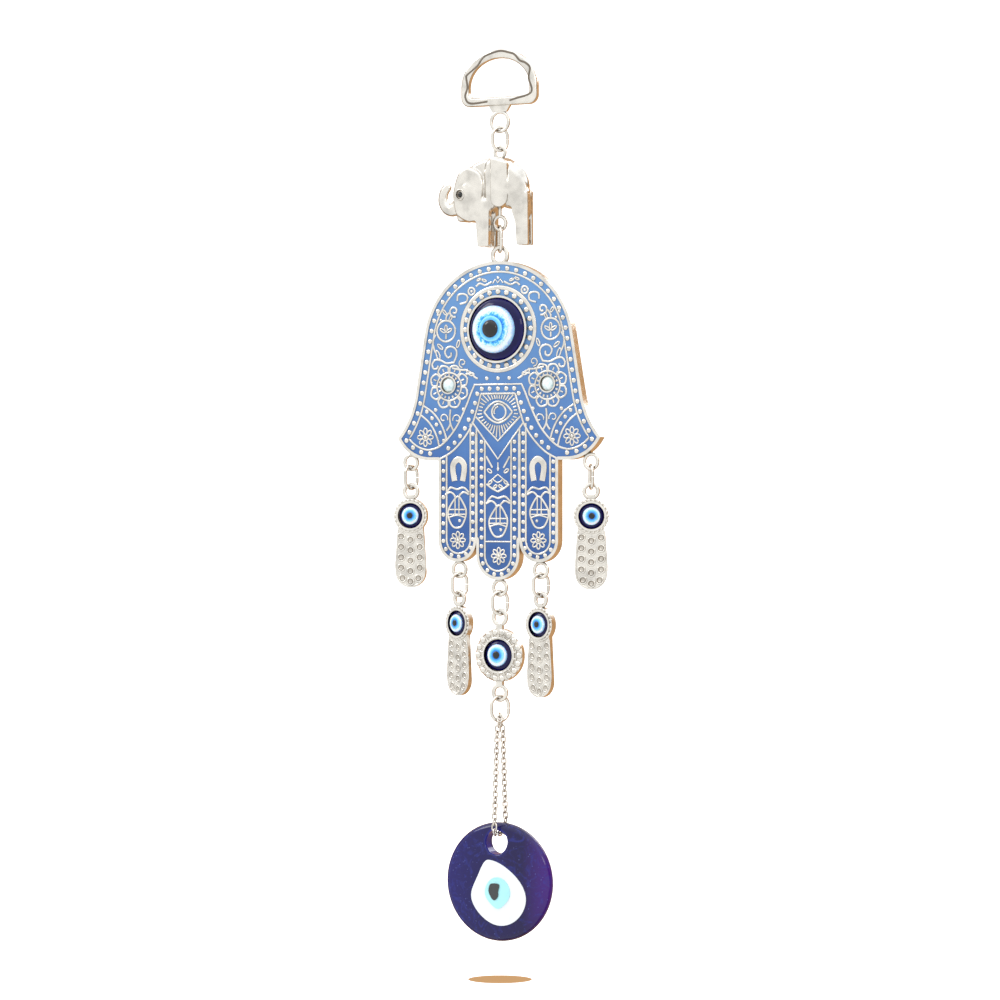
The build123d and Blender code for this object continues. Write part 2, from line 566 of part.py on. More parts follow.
# ---- chain -----------------------------------------------------------------------------------
def chain_place(row):
    """Side offset, height and lean of a row's link on the front strand; row 0 is the apex link."""
    along = row * CHAIN_PITCH
    top_arc = math.pi / 2 * CHAIN_TOP_BEND
    foot_arc = math.pi / 2 * CHAIN_BEND
    slant = math.atan2(CHAIN_FOOT_SPREAD - CHAIN_TOP_BEND, CHAIN_DROP)
    if along <= top_arc:
        angle = along / CHAIN_TOP_BEND
        return (CHAIN_TOP_BEND * math.sin(angle), LOWER_LINK_FOOT_Z + CHAIN_TOP_BEND * math.cos(angle),
                angle - math.pi / 2)
    along -= top_arc
    if along <= CHAIN_SLANT:
        share = along / CHAIN_SLANT
        return (CHAIN_TOP_BEND + share * (CHAIN_FOOT_SPREAD - CHAIN_TOP_BEND),
                LOWER_LINK_FOOT_Z - share * CHAIN_DROP, -slant)
    along -= CHAIN_SLANT
    if along <= foot_arc:
        angle = along / CHAIN_BEND
        return (CHAIN_FOOT_RUN + CHAIN_BEND * math.cos(angle),
                CHAIN_FOOT_Z + CHAIN_BEND - CHAIN_BEND * math.sin(angle), angle)
    return CHAIN_FOOT_RUN - (along - foot_arc), CHAIN_FOOT_Z, math.pi / 2


def chain_turn(row):
    return CHAIN_TURNS[row] if row < len(CHAIN_TURNS) else 0.0


def chain_link(row, strand):
    """One chain link; strand is +1 for the front strand and -1 for the back one."""
    side, height, lean = chain_place(row)
    roll = 90 * (row % 2)
    lean = math.degrees(lean) * strand
    link = oval_link(CHAIN_LINK_LENGTH, CHAIN_LINK_WIDTH, CHAIN_WIRE)
    return (Rot(0, 0, chain_turn(row) - 90) * Pos(strand * side, 0, height) * Rot(0, lean, 0)
            * Rot(0, 0, roll) * link)


def chain_length(first, last):
    """All the links of both strands from one row to another; the end rows are single links."""
    links = []
    for row in range(first, last + 1):
        strands = (1,) if row in (0, CHAIN_HALF_LINKS) else (1, -1)
        links += [chain_link(row, strand) for strand in strands]
    return Compound(links)


# ---- glass disc ------------------------------------------------------------------------------
def disc_blank():
    """Solid of revolution about Z: flat back, rounded edge, front rising in a low dome."""
    flat, edge = DISC_FLAT, DISC_EDGE
    crown = (flat / 2, edge + math.sqrt(DOME_RADIUS ** 2 - flat ** 2 / 4) - DOME_RADIUS + DISC_DOME)
    return revolve(make_face([
        Line((0, -edge), (flat, -edge)),
        ThreePointArc((flat, -edge), (DISC_RADIUS, 0), (flat, edge)),
        ThreePointArc((flat, edge), crown, (0, edge + DISC_DOME)),
        Line((0, edge + DISC_DOME), (0, -edge)),
    ]).rotate(Axis.X, 90), Axis.Z)


def patch_face(outline, x, y, width, height):
    """One patch of glass, flat in XY about the disc's centre."""
    points = [(across * width / 2, up * height / 2) for across, up in outline]
    return Pos(x, y) * make_face([Spline(points, periodic=True)])


def disc_patches():
    """The white, cyan and black patches, each lying on the one before."""
    tip = HOLE_OFFSET - HOLE_RADIUS - WHITE_TOP_GAP
    foot = WHITE_FOOT_GAP - DISC_FLAT
    middle = (tip + foot) / 2
    white_width = 2 * (DISC_FLAT - WHITE_SIDE_GAP)
    pupil_x = WHITE_SHIFT + PUPIL_SHIFT
    return {
        "disc_white": patch_face(WHITE_OUTLINE, WHITE_SHIFT, middle, white_width, tip - foot),
        "disc_cyan": patch_face(CYAN_OUTLINE, WHITE_SHIFT, middle, CYAN_WIDTH, CYAN_HEIGHT),
        "disc_pupil": patch_face(PUPIL_OUTLINE, pupil_x, middle + PUPIL_RISE, PUPIL_WIDTH, PUPIL_HEIGHT),
    }


def film(outline, level):
    """A layer of glass on the dome, cut to an outline; level counts the films below it."""
    centre = Pos(0, 0, DISC_EDGE + DISC_DOME - DOME_RADIUS)
    inner = DOME_RADIUS + level * GLASS_FILM
    shell = centre * Sphere(inner + GLASS_FILM) - centre * Sphere(inner)
    return shell & extrude(outline, 2 * DISC_EDGE + 2 * DISC_DOME)


def is_hole_rim(edge):
    box = edge.bounding_box()
    return abs(box.center().Y - HOLE_OFFSET) < HOLE_EDGE and box.size.Z < HOLE_EDGE


def make_disc(parts):
    hole = extrude(Pos(0, HOLE_OFFSET) * Circle(HOLE_RADIUS), 2 * DISC_RADIUS, both=True)
    glass = disc_blank() - hole
    rims = [edge for edge in glass.edges() if is_hole_rim(edge)]
    glass = fillet(rims, HOLE_EDGE)
    place = Pos(0, 0, DISC_Z)
    parts["disc_glass"] = place * upright(glass)
    for level, (name, outline) in enumerate(disc_patches().items()):
        parts[name] = place * upright(film(outline, level))


# ---- whole part ------------------------------------------------------------------------------
def make_parts():
    parts = {"hanger": make_hanger()}
    parts["top_link"] = hung_link(0, TOP_LINK_Z, LINK_LENGTH, LINK_WIDTH, TOP_LINK_TURN)
    parts["elephant_casting"], parts["elephant_eyes"] = make_elephant()
    parts["mid_link"] = hung_link(0, MID_LINK_Z, MID_LINK_LENGTH, LINK_WIDTH, MID_LINK_TURN)
    make_hand(parts)
    for name, (x, _) in LUGS.items():
        parts[f"link_{name}"] = hung_link(x, pendant_link_z(name), LINK_LENGTH, LINK_WIDTH,
                                          LINK_TURNS[name])
    make_charms(parts)
    make_medallion(parts)
    parts["lower_link"] = hung_link(0, LOWER_LINK_Z, LOWER_LINK_LENGTH, LOWER_LINK_WIDTH,
                                    LOWER_LINK_TURN)
    first = 0
    for number, last in enumerate(CHAIN_SPLITS + [CHAIN_HALF_LINKS], start=1):
        parts[f"chain_{number}"] = chain_length(first, last)
        first = last + 1
    make_disc(parts)
    return parts


def main():
    os.makedirs("parts", exist_ok=True)
    for name, shape in make_parts().items():
        export_step(shape, f"parts/{name}.step")


main()
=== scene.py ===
"""Looks of an evil eye wall hanging: silver castings, enamel relief, resin eyes and poured glass.

Shapes are drawn in millimetres, flat, with the front towards +z, then stood up facing -Y."""
import math
import bmesh
import bpy
from mathutils import Matrix, Vector, noise


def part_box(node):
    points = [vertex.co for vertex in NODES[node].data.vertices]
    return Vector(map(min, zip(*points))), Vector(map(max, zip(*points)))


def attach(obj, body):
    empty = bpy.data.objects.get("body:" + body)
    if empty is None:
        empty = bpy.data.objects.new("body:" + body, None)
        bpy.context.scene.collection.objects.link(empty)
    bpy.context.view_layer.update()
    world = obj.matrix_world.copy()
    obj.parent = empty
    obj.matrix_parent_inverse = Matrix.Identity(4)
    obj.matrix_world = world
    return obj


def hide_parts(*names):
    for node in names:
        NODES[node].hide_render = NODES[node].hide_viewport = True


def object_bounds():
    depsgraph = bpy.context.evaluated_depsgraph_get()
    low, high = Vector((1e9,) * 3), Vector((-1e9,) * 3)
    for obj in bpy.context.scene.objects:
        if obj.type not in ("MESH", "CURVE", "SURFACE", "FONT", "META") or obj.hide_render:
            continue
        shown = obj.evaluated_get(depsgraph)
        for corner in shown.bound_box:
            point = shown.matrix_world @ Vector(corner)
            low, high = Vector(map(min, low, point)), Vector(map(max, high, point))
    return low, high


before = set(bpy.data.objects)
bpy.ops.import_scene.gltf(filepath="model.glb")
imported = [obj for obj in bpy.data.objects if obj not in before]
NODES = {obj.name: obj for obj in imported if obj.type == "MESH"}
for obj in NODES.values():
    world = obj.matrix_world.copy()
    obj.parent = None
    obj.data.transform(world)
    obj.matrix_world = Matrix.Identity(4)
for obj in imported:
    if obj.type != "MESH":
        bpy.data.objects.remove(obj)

CAD_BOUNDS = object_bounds()

bl_info = {
    "name": "Evil Eye Hanging",
    "version": (1, 0, 0),
    "blender": (4, 5, 0),
    "location": "View3D > Sidebar > Hanging",
    "description": "Builds the castings, relief, resin eyes and glass of an evil eye wall hanging",
    "category": "Add Mesh",
}

MM = 0.001
UPRIGHT = Matrix.Rotation(math.radians(90), 4, "X")
HOLLOW_REACH = 1.6 * MM     # how near two faces are for painted shade to darken the plate between them
# colour of the painted shade in the plate's hollows and creases
PAINTED_SHADE_COLOUR = (0.2, 0.14, 0.08)
CHARM_TURNS = {"thumb_left": 15.0, "thumb_right": 29.0, "finger_left": -18.0, "finger_right": -13.0}


# ---- sizes and colours that a user would change ----------------------------------------------
class HangingSizes(bpy.types.PropertyGroup):
    line_width: bpy.props.FloatProperty(
        name="Line Width", description="Width of the hand's raised lines",
        default=0.00074, min=0.0002, unit="LENGTH")
    fine_width: bpy.props.FloatProperty(
        name="Fine Line Width", description="Width of the smallest raised lines",
        default=0.00055, min=0.0002, unit="LENGTH")
    bold_width: bpy.props.FloatProperty(
        name="Ring Width", description="Width of the thick ring round the centre eye",
        default=0.0015, min=0.0004, unit="LENGTH")
    line_height: bpy.props.FloatProperty(
        name="Line Height", description="Height of the raised lines above the enamel",
        default=0.0003, min=0.0001, unit="LENGTH")
    bead_radius: bpy.props.FloatProperty(
        name="Bead Radius", description="Radius of the border's beads",
        default=0.00082, min=0.0002, unit="LENGTH")
    cast_voxel: bpy.props.FloatProperty(
        name="Cast Detail", description="Smallest detail kept on the elephant's casting",
        default=0.00026, min=0.0001, unit="LENGTH")
    view_turn: bpy.props.FloatProperty(
        name="View Turn", description="Turn of the camera from straight ahead",
        default=math.radians(29.0), subtype="ANGLE", unit="ROTATION")
    view_distance: bpy.props.FloatProperty(
        name="View Distance", description="Camera's distance from the hanging",
        default=1.2, min=0.3, unit="LENGTH")
    view_height: bpy.props.FloatProperty(
        name="View Height", description="Height that the whole picture shows",
        default=0.313, min=0.1, unit="LENGTH")


def colour_property(name, description, default):
    return bpy.props.FloatVectorProperty(name=name, description=description, default=default,
                                         size=3, min=0.0, max=1.0, subtype="COLOR")


class HangingColours(bpy.types.PropertyGroup):
    silver: colour_property("Silver", "Plated castings and wire", (0.8, 0.77, 0.72))
    # the enamel's two colours are painted light: a painted sky reflection at the arch, painted shade at the
    # fingertips
    enamel_lit_top: colour_property("Enamel Lit Top", "Enamel at the hand's arch", (0.13, 0.3, 0.6))
    enamel_shaded_foot: colour_property("Enamel Shaded Foot", "Enamel at the fingertips", (0.02, 0.1, 0.36))
    cobalt: colour_property("Cobalt", "Base of each resin eye", (0.003, 0.002, 0.055))
    cobalt_lit: colour_property("Lit Cobalt", "Resin where light comes through", (0.012, 0.02, 0.42))
    white: colour_property("White", "White of each eye", (0.86, 0.93, 1.0))
    sky: colour_property("Sky", "Blue of each iris", (0.06, 0.5, 0.95))
    black: colour_property("Black", "Pupils", (0.006, 0.007, 0.008))
    glass: colour_property("Glass", "Body of the glass disc", (0.006, 0.003, 0.085))
    aqua: colour_property("Aqua", "Pale patch of the glass disc", (0.45, 0.93, 1.0))
    stone: colour_property("Stone", "Stones of the two flowers", (0.66, 0.93, 0.98))
    # the hanger's dark wavy line is a painted reflection on its domed band
    hanger_reflection: colour_property("Hanger Reflection", "Toned line round the hanger", (0.16, 0.12, 0.08))


def sizes():
    return bpy.context.scene.hanging_sizes


def colours():
    return bpy.context.scene.hanging_colours


# ---- finishes --------------------------------------------------------------------------------
LOOK = "look_"


class Finish:
    """A node material with its Principled shader, made once for each name."""

    def __init__(self, name):
        self.material = bpy.data.materials.new(LOOK + name)
        self.material.use_nodes = True
        self.nodes = self.material.node_tree.nodes
        self.links = self.material.node_tree.links
        self.shader = self.nodes["Principled BSDF"]
        self.place = self.add("ShaderNodeTexCoord").outputs["Object"]

    def add(self, kind, **settings):
        node = self.nodes.new(kind)
        for key, value in settings.items():
            setattr(node, key, value)
        return node

    def feed(self, value, socket):
        """Link a socket, or set a plain value."""
        if isinstance(value, bpy.types.NodeSocket):
            self.links.new(value, socket)
        else:
            socket.default_value = value

    def set(self, **values):
        for key, value in values.items():
            self.feed(value, self.shader.inputs[key.replace("_", " ")])

    def noise(self, scale, detail=3.0, distortion=0.0):
        node = self.add("ShaderNodeTexNoise")
        self.feed(self.place, node.inputs["Vector"])
        self.feed(scale, node.inputs["Scale"])
        self.feed(detail, node.inputs["Detail"])
        self.feed(distortion, node.inputs["Distortion"])
        return node.outputs["Fac"]

    def ramp(self, factor, stops):
        node = self.add("ShaderNodeValToRGB")
        elements = node.color_ramp.elements
        while len(elements) < len(stops):
            elements.new(0.5)
        for element, (place, colour) in zip(elements, stops):
            element.position = place
            element.color = (*colour, 1.0)
        self.feed(factor, node.inputs["Fac"])
        return node.outputs["Color"]

    def range(self, value, low, high, new_low, new_high):
        node = self.add("ShaderNodeMapRange")
        for socket, number in zip(node.inputs, (value, low, high, new_low, new_high)):
            self.feed(number, socket)
        return node.outputs["Result"]

    def mix(self, factor, first, second):
        node = self.add("ShaderNodeMix", data_type="RGBA")
        self.feed(factor, node.inputs[0])
        self.feed(first if isinstance(first, bpy.types.NodeSocket) else (*first, 1.0), node.inputs[6])
        self.feed(second if isinstance(second, bpy.types.NodeSocket) else (*second, 1.0), node.inputs[7])
        return node.outputs[2]

    def attribute(self, name):
        return self.add("ShaderNodeAttribute", attribute_name=name).outputs["Fac"]

    def axis(self, name):
        node = self.add("ShaderNodeSeparateXYZ")
        self.feed(self.place, node.inputs["Vector"])
        return node.outputs[name]

    def distance(self, point):
        """Distance of a surface point from a fixed place in the frame."""
        node = self.add("ShaderNodeVectorMath", operation="DISTANCE")
        self.feed(self.place, node.inputs[0])
        node.inputs[1].default_value = point
        return node.outputs["Value"]

    def bump(self, height, strength, depth):
        node = self.add("ShaderNodeBump")
        self.feed(height, node.inputs["Height"])
        node.inputs["Strength"].default_value = strength
        node.inputs["Distance"].default_value = depth
        self.feed(node.outputs["Normal"], self.shader.inputs["Normal"])


def scaled(colour, share):
    return tuple(min(1.0, part * share) for part in colour)


def silver_finish(name, roughness, pitting):
    """Bright plate: faint tarnish in clouds, painted shade in hollows and creases, tiny pits and uneven
    polish.
    """
    finish = Finish(name)
    tone = tuple(colours().silver)
    cloud = finish.noise(260.0, 4.0)
    polish = finish.ramp(cloud, [(0.3, scaled(tone, 0.8)), (0.5, tone), (0.75, scaled(tone, 1.12))])
    # ambient occlusion darkens hollows and creases towards the shade colour: painted shade
    hollow = finish.add("ShaderNodeAmbientOcclusion", samples=6)
    hollow.inputs["Distance"].default_value = HOLLOW_REACH
    painted_shade = finish.range(hollow.outputs["AO"], 0.35, 0.85, 0.7, 0.0)
    finish.set(Base_Color=finish.mix(painted_shade, polish, PAINTED_SHADE_COLOUR),
               Metallic=1.0,
               Roughness=finish.range(finish.noise(900.0, 5.0), 0.3, 0.7, roughness * 0.7, roughness * 1.4))
    finish.bump(finish.noise(1500.0, 3.0), pitting, 0.0001)
    return finish.material


def enamel_finish(name, top, foot):
    """Poured enamel with painted light: paler towards the arch as a painted sky reflection, darker at the
    fingertips as painted shade, with soft ripples and cloudy depth.
    """
    finish = Finish(name)
    shades = colours()
    high, low = tuple(shades.enamel_lit_top), tuple(shades.enamel_shaded_foot)
    middle = tuple((a + b) / 2 for a, b in zip(high, low))
    # colour by height: painted shade at the fingertips, painted sky reflection at the arch
    height = finish.range(finish.axis("Z"), foot, top, 0.0, 1.0)
    painted_light_ramp = finish.ramp(height, [(0.0, scaled(low, 0.8)), (0.3, low), (0.55, middle), (1.0, high)])
    cloud = finish.range(finish.noise(120.0, 4.0), 0.4, 0.8, 0.0, 0.25)
    finish.set(Base_Color=finish.mix(cloud, painted_light_ramp, scaled(high, 1.2)), Roughness=finish.range(
        finish.noise(500.0), 0.3, 0.7, 0.12, 0.24), Coat_Weight=0.25, Coat_Roughness=0.06)
    finish.bump(finish.noise(320.0, 2.0), 0.25, 0.00012)
    return finish.material


def resin_finish(name, stops, gloss=0.08, subsurface=0.0, uneven=0.05, coat=0.6):
    """Clear-coated cast resin, its colour following how far a point lies from the eye's middle."""
    finish = Finish(name)
    wobble = finish.range(finish.noise(900.0, 3.0, 1.2), 0.25, 0.75, -uneven, uneven)
    total = finish.add("ShaderNodeMath", operation="ADD")
    finish.feed(finish.attribute("shade"), total.inputs[0])
    finish.feed(wobble, total.inputs[1])
    finish.set(Base_Color=finish.ramp(total.outputs[0], stops), Coat_Weight=coat, Coat_Roughness=0.02,
               Specular_IOR_Level=0.3,
               Roughness=finish.range(finish.noise(800.0), 0.3, 0.7, gloss * 0.6, gloss * 1.6))
    if subsurface:
        finish.set(Subsurface_Weight=subsurface, Subsurface_Scale=0.0008)
    finish.bump(finish.noise(600.0, 2.0), 0.12, 0.00008)
    return finish.material


def glass_finish(name, middle, hole, radius):
    """Deep cobalt glass with painted light: lighter at its left, violet at its right edge and lit blue
    round the hole; seeds and flow lines inside.
    """
    finish = Finish(name)
    shades = colours()
    deep = tuple(shades.glass)
    # painted light across the disc: lighter at the left, violet at the right edge
    across = finish.range(finish.axis("X"), middle[0] - radius, middle[0] + radius, 0.0, 1.0)
    body = finish.ramp(across, [(0.0, scaled(deep, 1.6)), (0.3, deep), (0.75, (0.006, 0.002, 0.06)),
                                (1.0, (0.05, 0.006, 0.2))])
    lit = finish.range(finish.distance(hole), radius * 0.19, radius * 0.27, 0.85, 0.0)
    body = finish.mix(lit, body, tuple(shades.cobalt_lit))
    seeds = finish.add("ShaderNodeTexVoronoi")
    finish.feed(finish.place, seeds.inputs["Vector"])
    seeds.inputs["Scale"].default_value = 700.0
    seed = finish.range(seeds.outputs["Distance"], 0.06, 0.16, 0.5, 0.0)
    body = finish.mix(seed, body, (0.12, 0.16, 0.5))
    streaks = finish.range(finish.noise(240.0, 6.0, 2.5), 0.52, 0.7, 0.0, 0.5)
    body = finish.mix(streaks, body, (0.02, 0.03, 0.28))
    finish.set(Base_Color=body, Coat_Weight=0.1, Coat_Roughness=0.03, Specular_IOR_Level=0.4,
               Roughness=finish.range(finish.noise(60.0, 2.0), 0.3, 0.7, 0.04, 0.14))
    finish.bump(finish.noise(130.0, 2.0, 0.5), 0.35, 0.0004)
    return finish.material


def patch_finish(name, stops, scale):
    """Opaque glass laid on hot: soft swirls of colour and a fire-polished skin."""
    finish = Finish(name)
    finish.set(Base_Color=finish.ramp(finish.noise(scale, 3.0, 0.8), stops), Coat_Weight=1.0,
               Coat_Roughness=0.03, Roughness=finish.range(finish.noise(200.0), 0.3, 0.7, 0.08, 0.2))
    finish.bump(finish.noise(180.0, 2.0), 0.3, 0.0003)
    return finish.material


def make_finishes():
    shades = colours()
    cobalt, lit = tuple(shades.cobalt), tuple(shades.cobalt_lit)
    white, sky, black = tuple(shades.white), tuple(shades.sky), tuple(shades.black)
    hand_low, hand_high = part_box("hand_enamel")
    disc_low, disc_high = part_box("disc_glass")
    middle = (disc_low + disc_high) / 2
    radius = (disc_high.x - disc_low.x) / 2
    hole = (middle.x, middle.y, middle.z + 12.5 * MM)
    silver_finish("cast_silver", 0.2, 0.3)
    silver_finish("wire_silver", 0.12, 0.12)
    enamel_finish("sky_enamel", hand_high.z, hand_low.z)
    resin_finish("cobalt_resin", [(0.0, lit), (0.6, scaled(cobalt, 1.4)), (0.85, cobalt),
                                  (1.0, scaled(cobalt, 2.0))], 0.06, coat=0.0)
    resin_finish("white_resin", [(0.0, white), (0.62, white), (0.9, scaled(white, 0.95)),
                                 (1.0, (0.35, 0.6, 0.95))], subsurface=0.3)
    # the splash's deep blue middle shows as a ring round the iris: painted shadow; its pale streaked edge
    # is the splash's own colour
    resin_finish("splash_and_painted_shadow_resin", [(0.0, (0.01, 0.16, 0.7)), (0.72, (0.01, 0.2, 0.8)), (0.82, sky),
                                  (0.93, (0.42, 0.82, 1.0)), (1.0, (0.8, 0.93, 1.0))], uneven=0.16)
    resin_finish("sky_resin", [(0.0, (0.01, 0.12, 0.6)), (0.58, (0.02, 0.25, 0.8)),
                               (0.76, (0.12, 0.55, 1.0)), (1.0, (0.36, 0.85, 1.0))])
    resin_finish("black_gloss", [(0.0, black), (0.8, black), (1.0, (0.01, 0.02, 0.06))], 0.05)
    glass_finish("cobalt_glass", middle, hole, radius)
    patch_finish("milk_glass", [(0.2, (0.8, 0.88, 0.97)), (0.6, (0.94, 0.97, 1.0))], 90.0)
    patch_finish("aqua_glass", [(0.2, scaled(shades.aqua, 0.85)), (0.7, tuple(shades.aqua))], 160.0)
    patch_finish("black_glass", [(0.2, black), (0.8, (0.02, 0.03, 0.04))], 300.0)
    patch_finish("pale_stone", [(0.3, scaled(shades.stone, 0.8)), (0.6, (0.9, 0.98, 1.0))], 700.0)
    # dark finish of the hanger's wavy line: painted reflection
    patch_finish("painted_reflection_line", [(0.3, scaled(shades.hanger_reflection, 0.6)), (0.7, tuple(shades.hanger_reflection))], 400.0)


# ---- drawing ---------------------------------------------------------------------------------
def smooth(points, closed=False, steps=6):
    """A smooth line through the points given."""
    count = len(points)
    spans = count if closed else count - 1
    line = []
    for span in range(spans):
        p = [points[(span + k) % count] if closed else points[min(max(span + k, 0), count - 1)]
             for k in (-1, 0, 1, 2)]
        for step in range(steps):
            t = step / steps
            line.append(tuple(
                0.5 * (2 * b + (c - a) * t + (2 * a - 5 * b + 4 * c - d) * t * t
                       + (3 * b - a - 3 * c + d) * t ** 3)
                for a, b, c, d in zip(*p)))
    if not closed:
        line.append(tuple(points[-1]))
    return line


def arc(x, y, radius, start, end, count=20):
    """Points along an arc, its angles in degrees from +x."""
    turns = [math.radians(start + (end - start) * step / count) for step in range(count + 1)]
    return [(x + radius * math.cos(turn), y + radius * math.sin(turn)) for turn in turns]


def oval(x, y, wide, high, count=24, turn=0.0):
    lean = math.radians(turn)
    points = []
    for step in range(count):
        angle = math.tau * step / count
        across, up = wide * math.cos(angle), high * math.sin(angle)
        points.append((x + across * math.cos(lean) - up * math.sin(lean),
                       y + across * math.sin(lean) + up * math.cos(lean)))
    return points


def spiral(x, y, start, end, turn, sweep, count=18):
    """A curl from one radius to another."""
    points = []
    for step in range(count + 1):
        share = step / count
        angle = math.radians(turn + sweep * share)
        radius = start + (end - start) * share
        points.append((x + radius * math.cos(angle), y + radius * math.sin(angle)))
    return points


def spaced(points, pitch):
    """Points evenly spaced along a line, its two ends included."""
    lengths = [math.dist(a, b) for a, b in zip(points, points[1:])]
    total = sum(lengths)
    count = max(1, round(total / pitch))
    marks = [total * step / count for step in range(count + 1)]
    found, run, span = [], 0.0, 0
    for mark in marks:
        while span < len(lengths) - 1 and run + lengths[span] < mark:
            run += lengths[span]
            span += 1
        share = (mark - run) / lengths[span]
        a, b = points[span], points[span + 1]
        found.append((a[0] + (b[0] - a[0]) * share, a[1] + (b[1] - a[1]) * share))
    return found


def flipped(points):
    return [(-x, y) for x, y in points]


class Drawing:
    """Lines and beads of one relief, in millimetres."""

    def __init__(self):
        self.lines = {"plain": [], "fine": [], "bold": [], "heavy": []}
        self.beads = []

    def line(self, points, closed=False, weight="plain", both=False):
        self.lines[weight].append((points, closed))
        if both:
            self.lines[weight].append((flipped(points), closed))

    def bead(self, points, size=1.0, both=False):
        for x, y in points:
            self.beads.append((x, y, size))
            if both and abs(x) > 0.01:
                self.beads.append((-x, y, size))


# ---- geometry node trees ---------------------------------------------------------------------
def new_tree(name, inputs):
    """An empty node tree with a Geometry input and the named sizes."""
    tree = bpy.data.node_groups.new(name, "GeometryNodeTree")
    tree.interface.new_socket("Geometry", in_out="INPUT", socket_type="NodeSocketGeometry")
    for label, kind, default in inputs:
        socket = tree.interface.new_socket(label, in_out="INPUT", socket_type=kind)
        if default is not None:
            socket.default_value = default
    tree.interface.new_socket("Geometry", in_out="OUTPUT", socket_type="NodeSocketGeometry")
    return tree, tree.nodes.new("NodeGroupInput"), tree.nodes.new("NodeGroupOutput")


def close_tree(tree, source, result, geometry):
    """End a tree in Realize Instances, smooth shading and Set Material."""
    real = tree.nodes.new("GeometryNodeRealizeInstances")
    shade = tree.nodes.new("GeometryNodeSetShadeSmooth")
    paint = tree.nodes.new("GeometryNodeSetMaterial")
    tree.links.new(geometry, real.inputs["Geometry"])
    tree.links.new(real.outputs["Geometry"], shade.inputs["Geometry"])
    tree.links.new(shade.outputs["Geometry"], paint.inputs["Geometry"])
    tree.links.new(source.outputs["Material"], paint.inputs["Material"])
    tree.links.new(paint.outputs["Geometry"], result.inputs["Geometry"])


def raised_line_tree():
    """Rounded bars along flat lines."""
    tree, source, result = new_tree("raised_line", [
        ("Width", "NodeSocketFloat", 0.0006), ("Rise", "NodeSocketFloat", 0.0003),
        ("Sides", "NodeSocketInt", 8), ("Material", "NodeSocketMaterial", None)])
    curve = tree.nodes.new("GeometryNodeMeshToCurve")
    level = tree.nodes.new("GeometryNodeSetCurveNormal")
    level.mode = "Z_UP"
    circle = tree.nodes.new("GeometryNodeCurvePrimitiveCircle")
    circle.inputs["Radius"].default_value = 0.5
    size = tree.nodes.new("ShaderNodeCombineXYZ")
    squeeze = tree.nodes.new("GeometryNodeTransform")
    double = tree.nodes.new("ShaderNodeMath")
    double.operation = "MULTIPLY"
    double.inputs[1].default_value = 2.0
    sweep = tree.nodes.new("GeometryNodeCurveToMesh")
    sweep.inputs["Fill Caps"].default_value = True
    links = tree.links
    links.new(source.outputs["Geometry"], curve.inputs["Mesh"])
    links.new(curve.outputs["Curve"], level.inputs["Curve"])
    links.new(source.outputs["Sides"], circle.inputs["Resolution"])
    links.new(source.outputs["Rise"], double.inputs[0])
    links.new(source.outputs["Width"], size.inputs["X"])
    links.new(double.outputs[0], size.inputs["Y"])
    links.new(circle.outputs["Curve"], squeeze.inputs["Geometry"])
    links.new(size.outputs[0], squeeze.inputs["Scale"])
    links.new(level.outputs["Curve"], sweep.inputs["Curve"])
    links.new(squeeze.outputs["Geometry"], sweep.inputs["Profile Curve"])
    close_tree(tree, source, result, sweep.outputs["Mesh"])
    return tree


def bead_tree():
    """Round beads set on points, each sized by the point's own value."""
    tree, source, result = new_tree("bead_row", [
        ("Radius", "NodeSocketFloat", 0.0006), ("Flatness", "NodeSocketFloat", 0.6),
        ("Material", "NodeSocketMaterial", None)])
    ball = tree.nodes.new("GeometryNodeMeshIcoSphere")
    ball.inputs["Subdivisions"].default_value = 3
    scale = tree.nodes.new("ShaderNodeCombineXYZ")
    scale.inputs["X"].default_value = 1.0
    scale.inputs["Y"].default_value = 1.0
    squeeze = tree.nodes.new("GeometryNodeTransform")
    size = tree.nodes.new("GeometryNodeInputNamedAttribute")
    size.data_type = "FLOAT"
    size.inputs["Name"].default_value = "size"
    place = tree.nodes.new("GeometryNodeInstanceOnPoints")
    links = tree.links
    links.new(source.outputs["Radius"], ball.inputs["Radius"])
    links.new(source.outputs["Flatness"], scale.inputs["Z"])
    links.new(ball.outputs["Mesh"], squeeze.inputs["Geometry"])
    links.new(scale.outputs[0], squeeze.inputs["Scale"])
    links.new(source.outputs["Geometry"], place.inputs["Points"])
    links.new(squeeze.outputs["Geometry"], place.inputs["Instance"])
    links.new(size.outputs["Attribute"], place.inputs["Scale"])
    close_tree(tree, source, result, place.outputs["Instances"])
    return tree


def grown(mesh, tree, **inputs):
    """The plain mesh that a tree makes from a mesh."""
    holder = bpy.data.objects.new("holder", mesh)
    bpy.context.scene.collection.objects.link(holder)
    modifier = holder.modifiers.new("grow", "NODES")
    modifier.node_group = tree
    for item in tree.interface.items_tree:
        label = item.name.lower()
        if item.in_out == "INPUT" and label in inputs:
            modifier[item.identifier] = inputs[label]
    bpy.context.view_layer.update()
    depsgraph = bpy.context.evaluated_depsgraph_get()
    result = bpy.data.meshes.new_from_object(holder.evaluated_get(depsgraph))
    bpy.data.objects.remove(holder)
    return result


def tree_named(name, maker):
    return bpy.data.node_groups.get(name) or maker()


def line_mesh(lines):
    """Bare edges along the lines, in metres; a point is (x, y) or (x, y, z)."""
    vertices, edges = [], []
    for points, closed in lines:
        first = len(vertices)
        vertices += [Vector((*point, 0.0)[:3]) * MM for point in points]
        last = len(vertices) - 1
        edges += [(k, k + 1) for k in range(first, last)]
        if closed:
            edges.append((last, first))
    mesh = bpy.data.meshes.new("lines")
    mesh.from_pydata(vertices, edges, [])
    return mesh


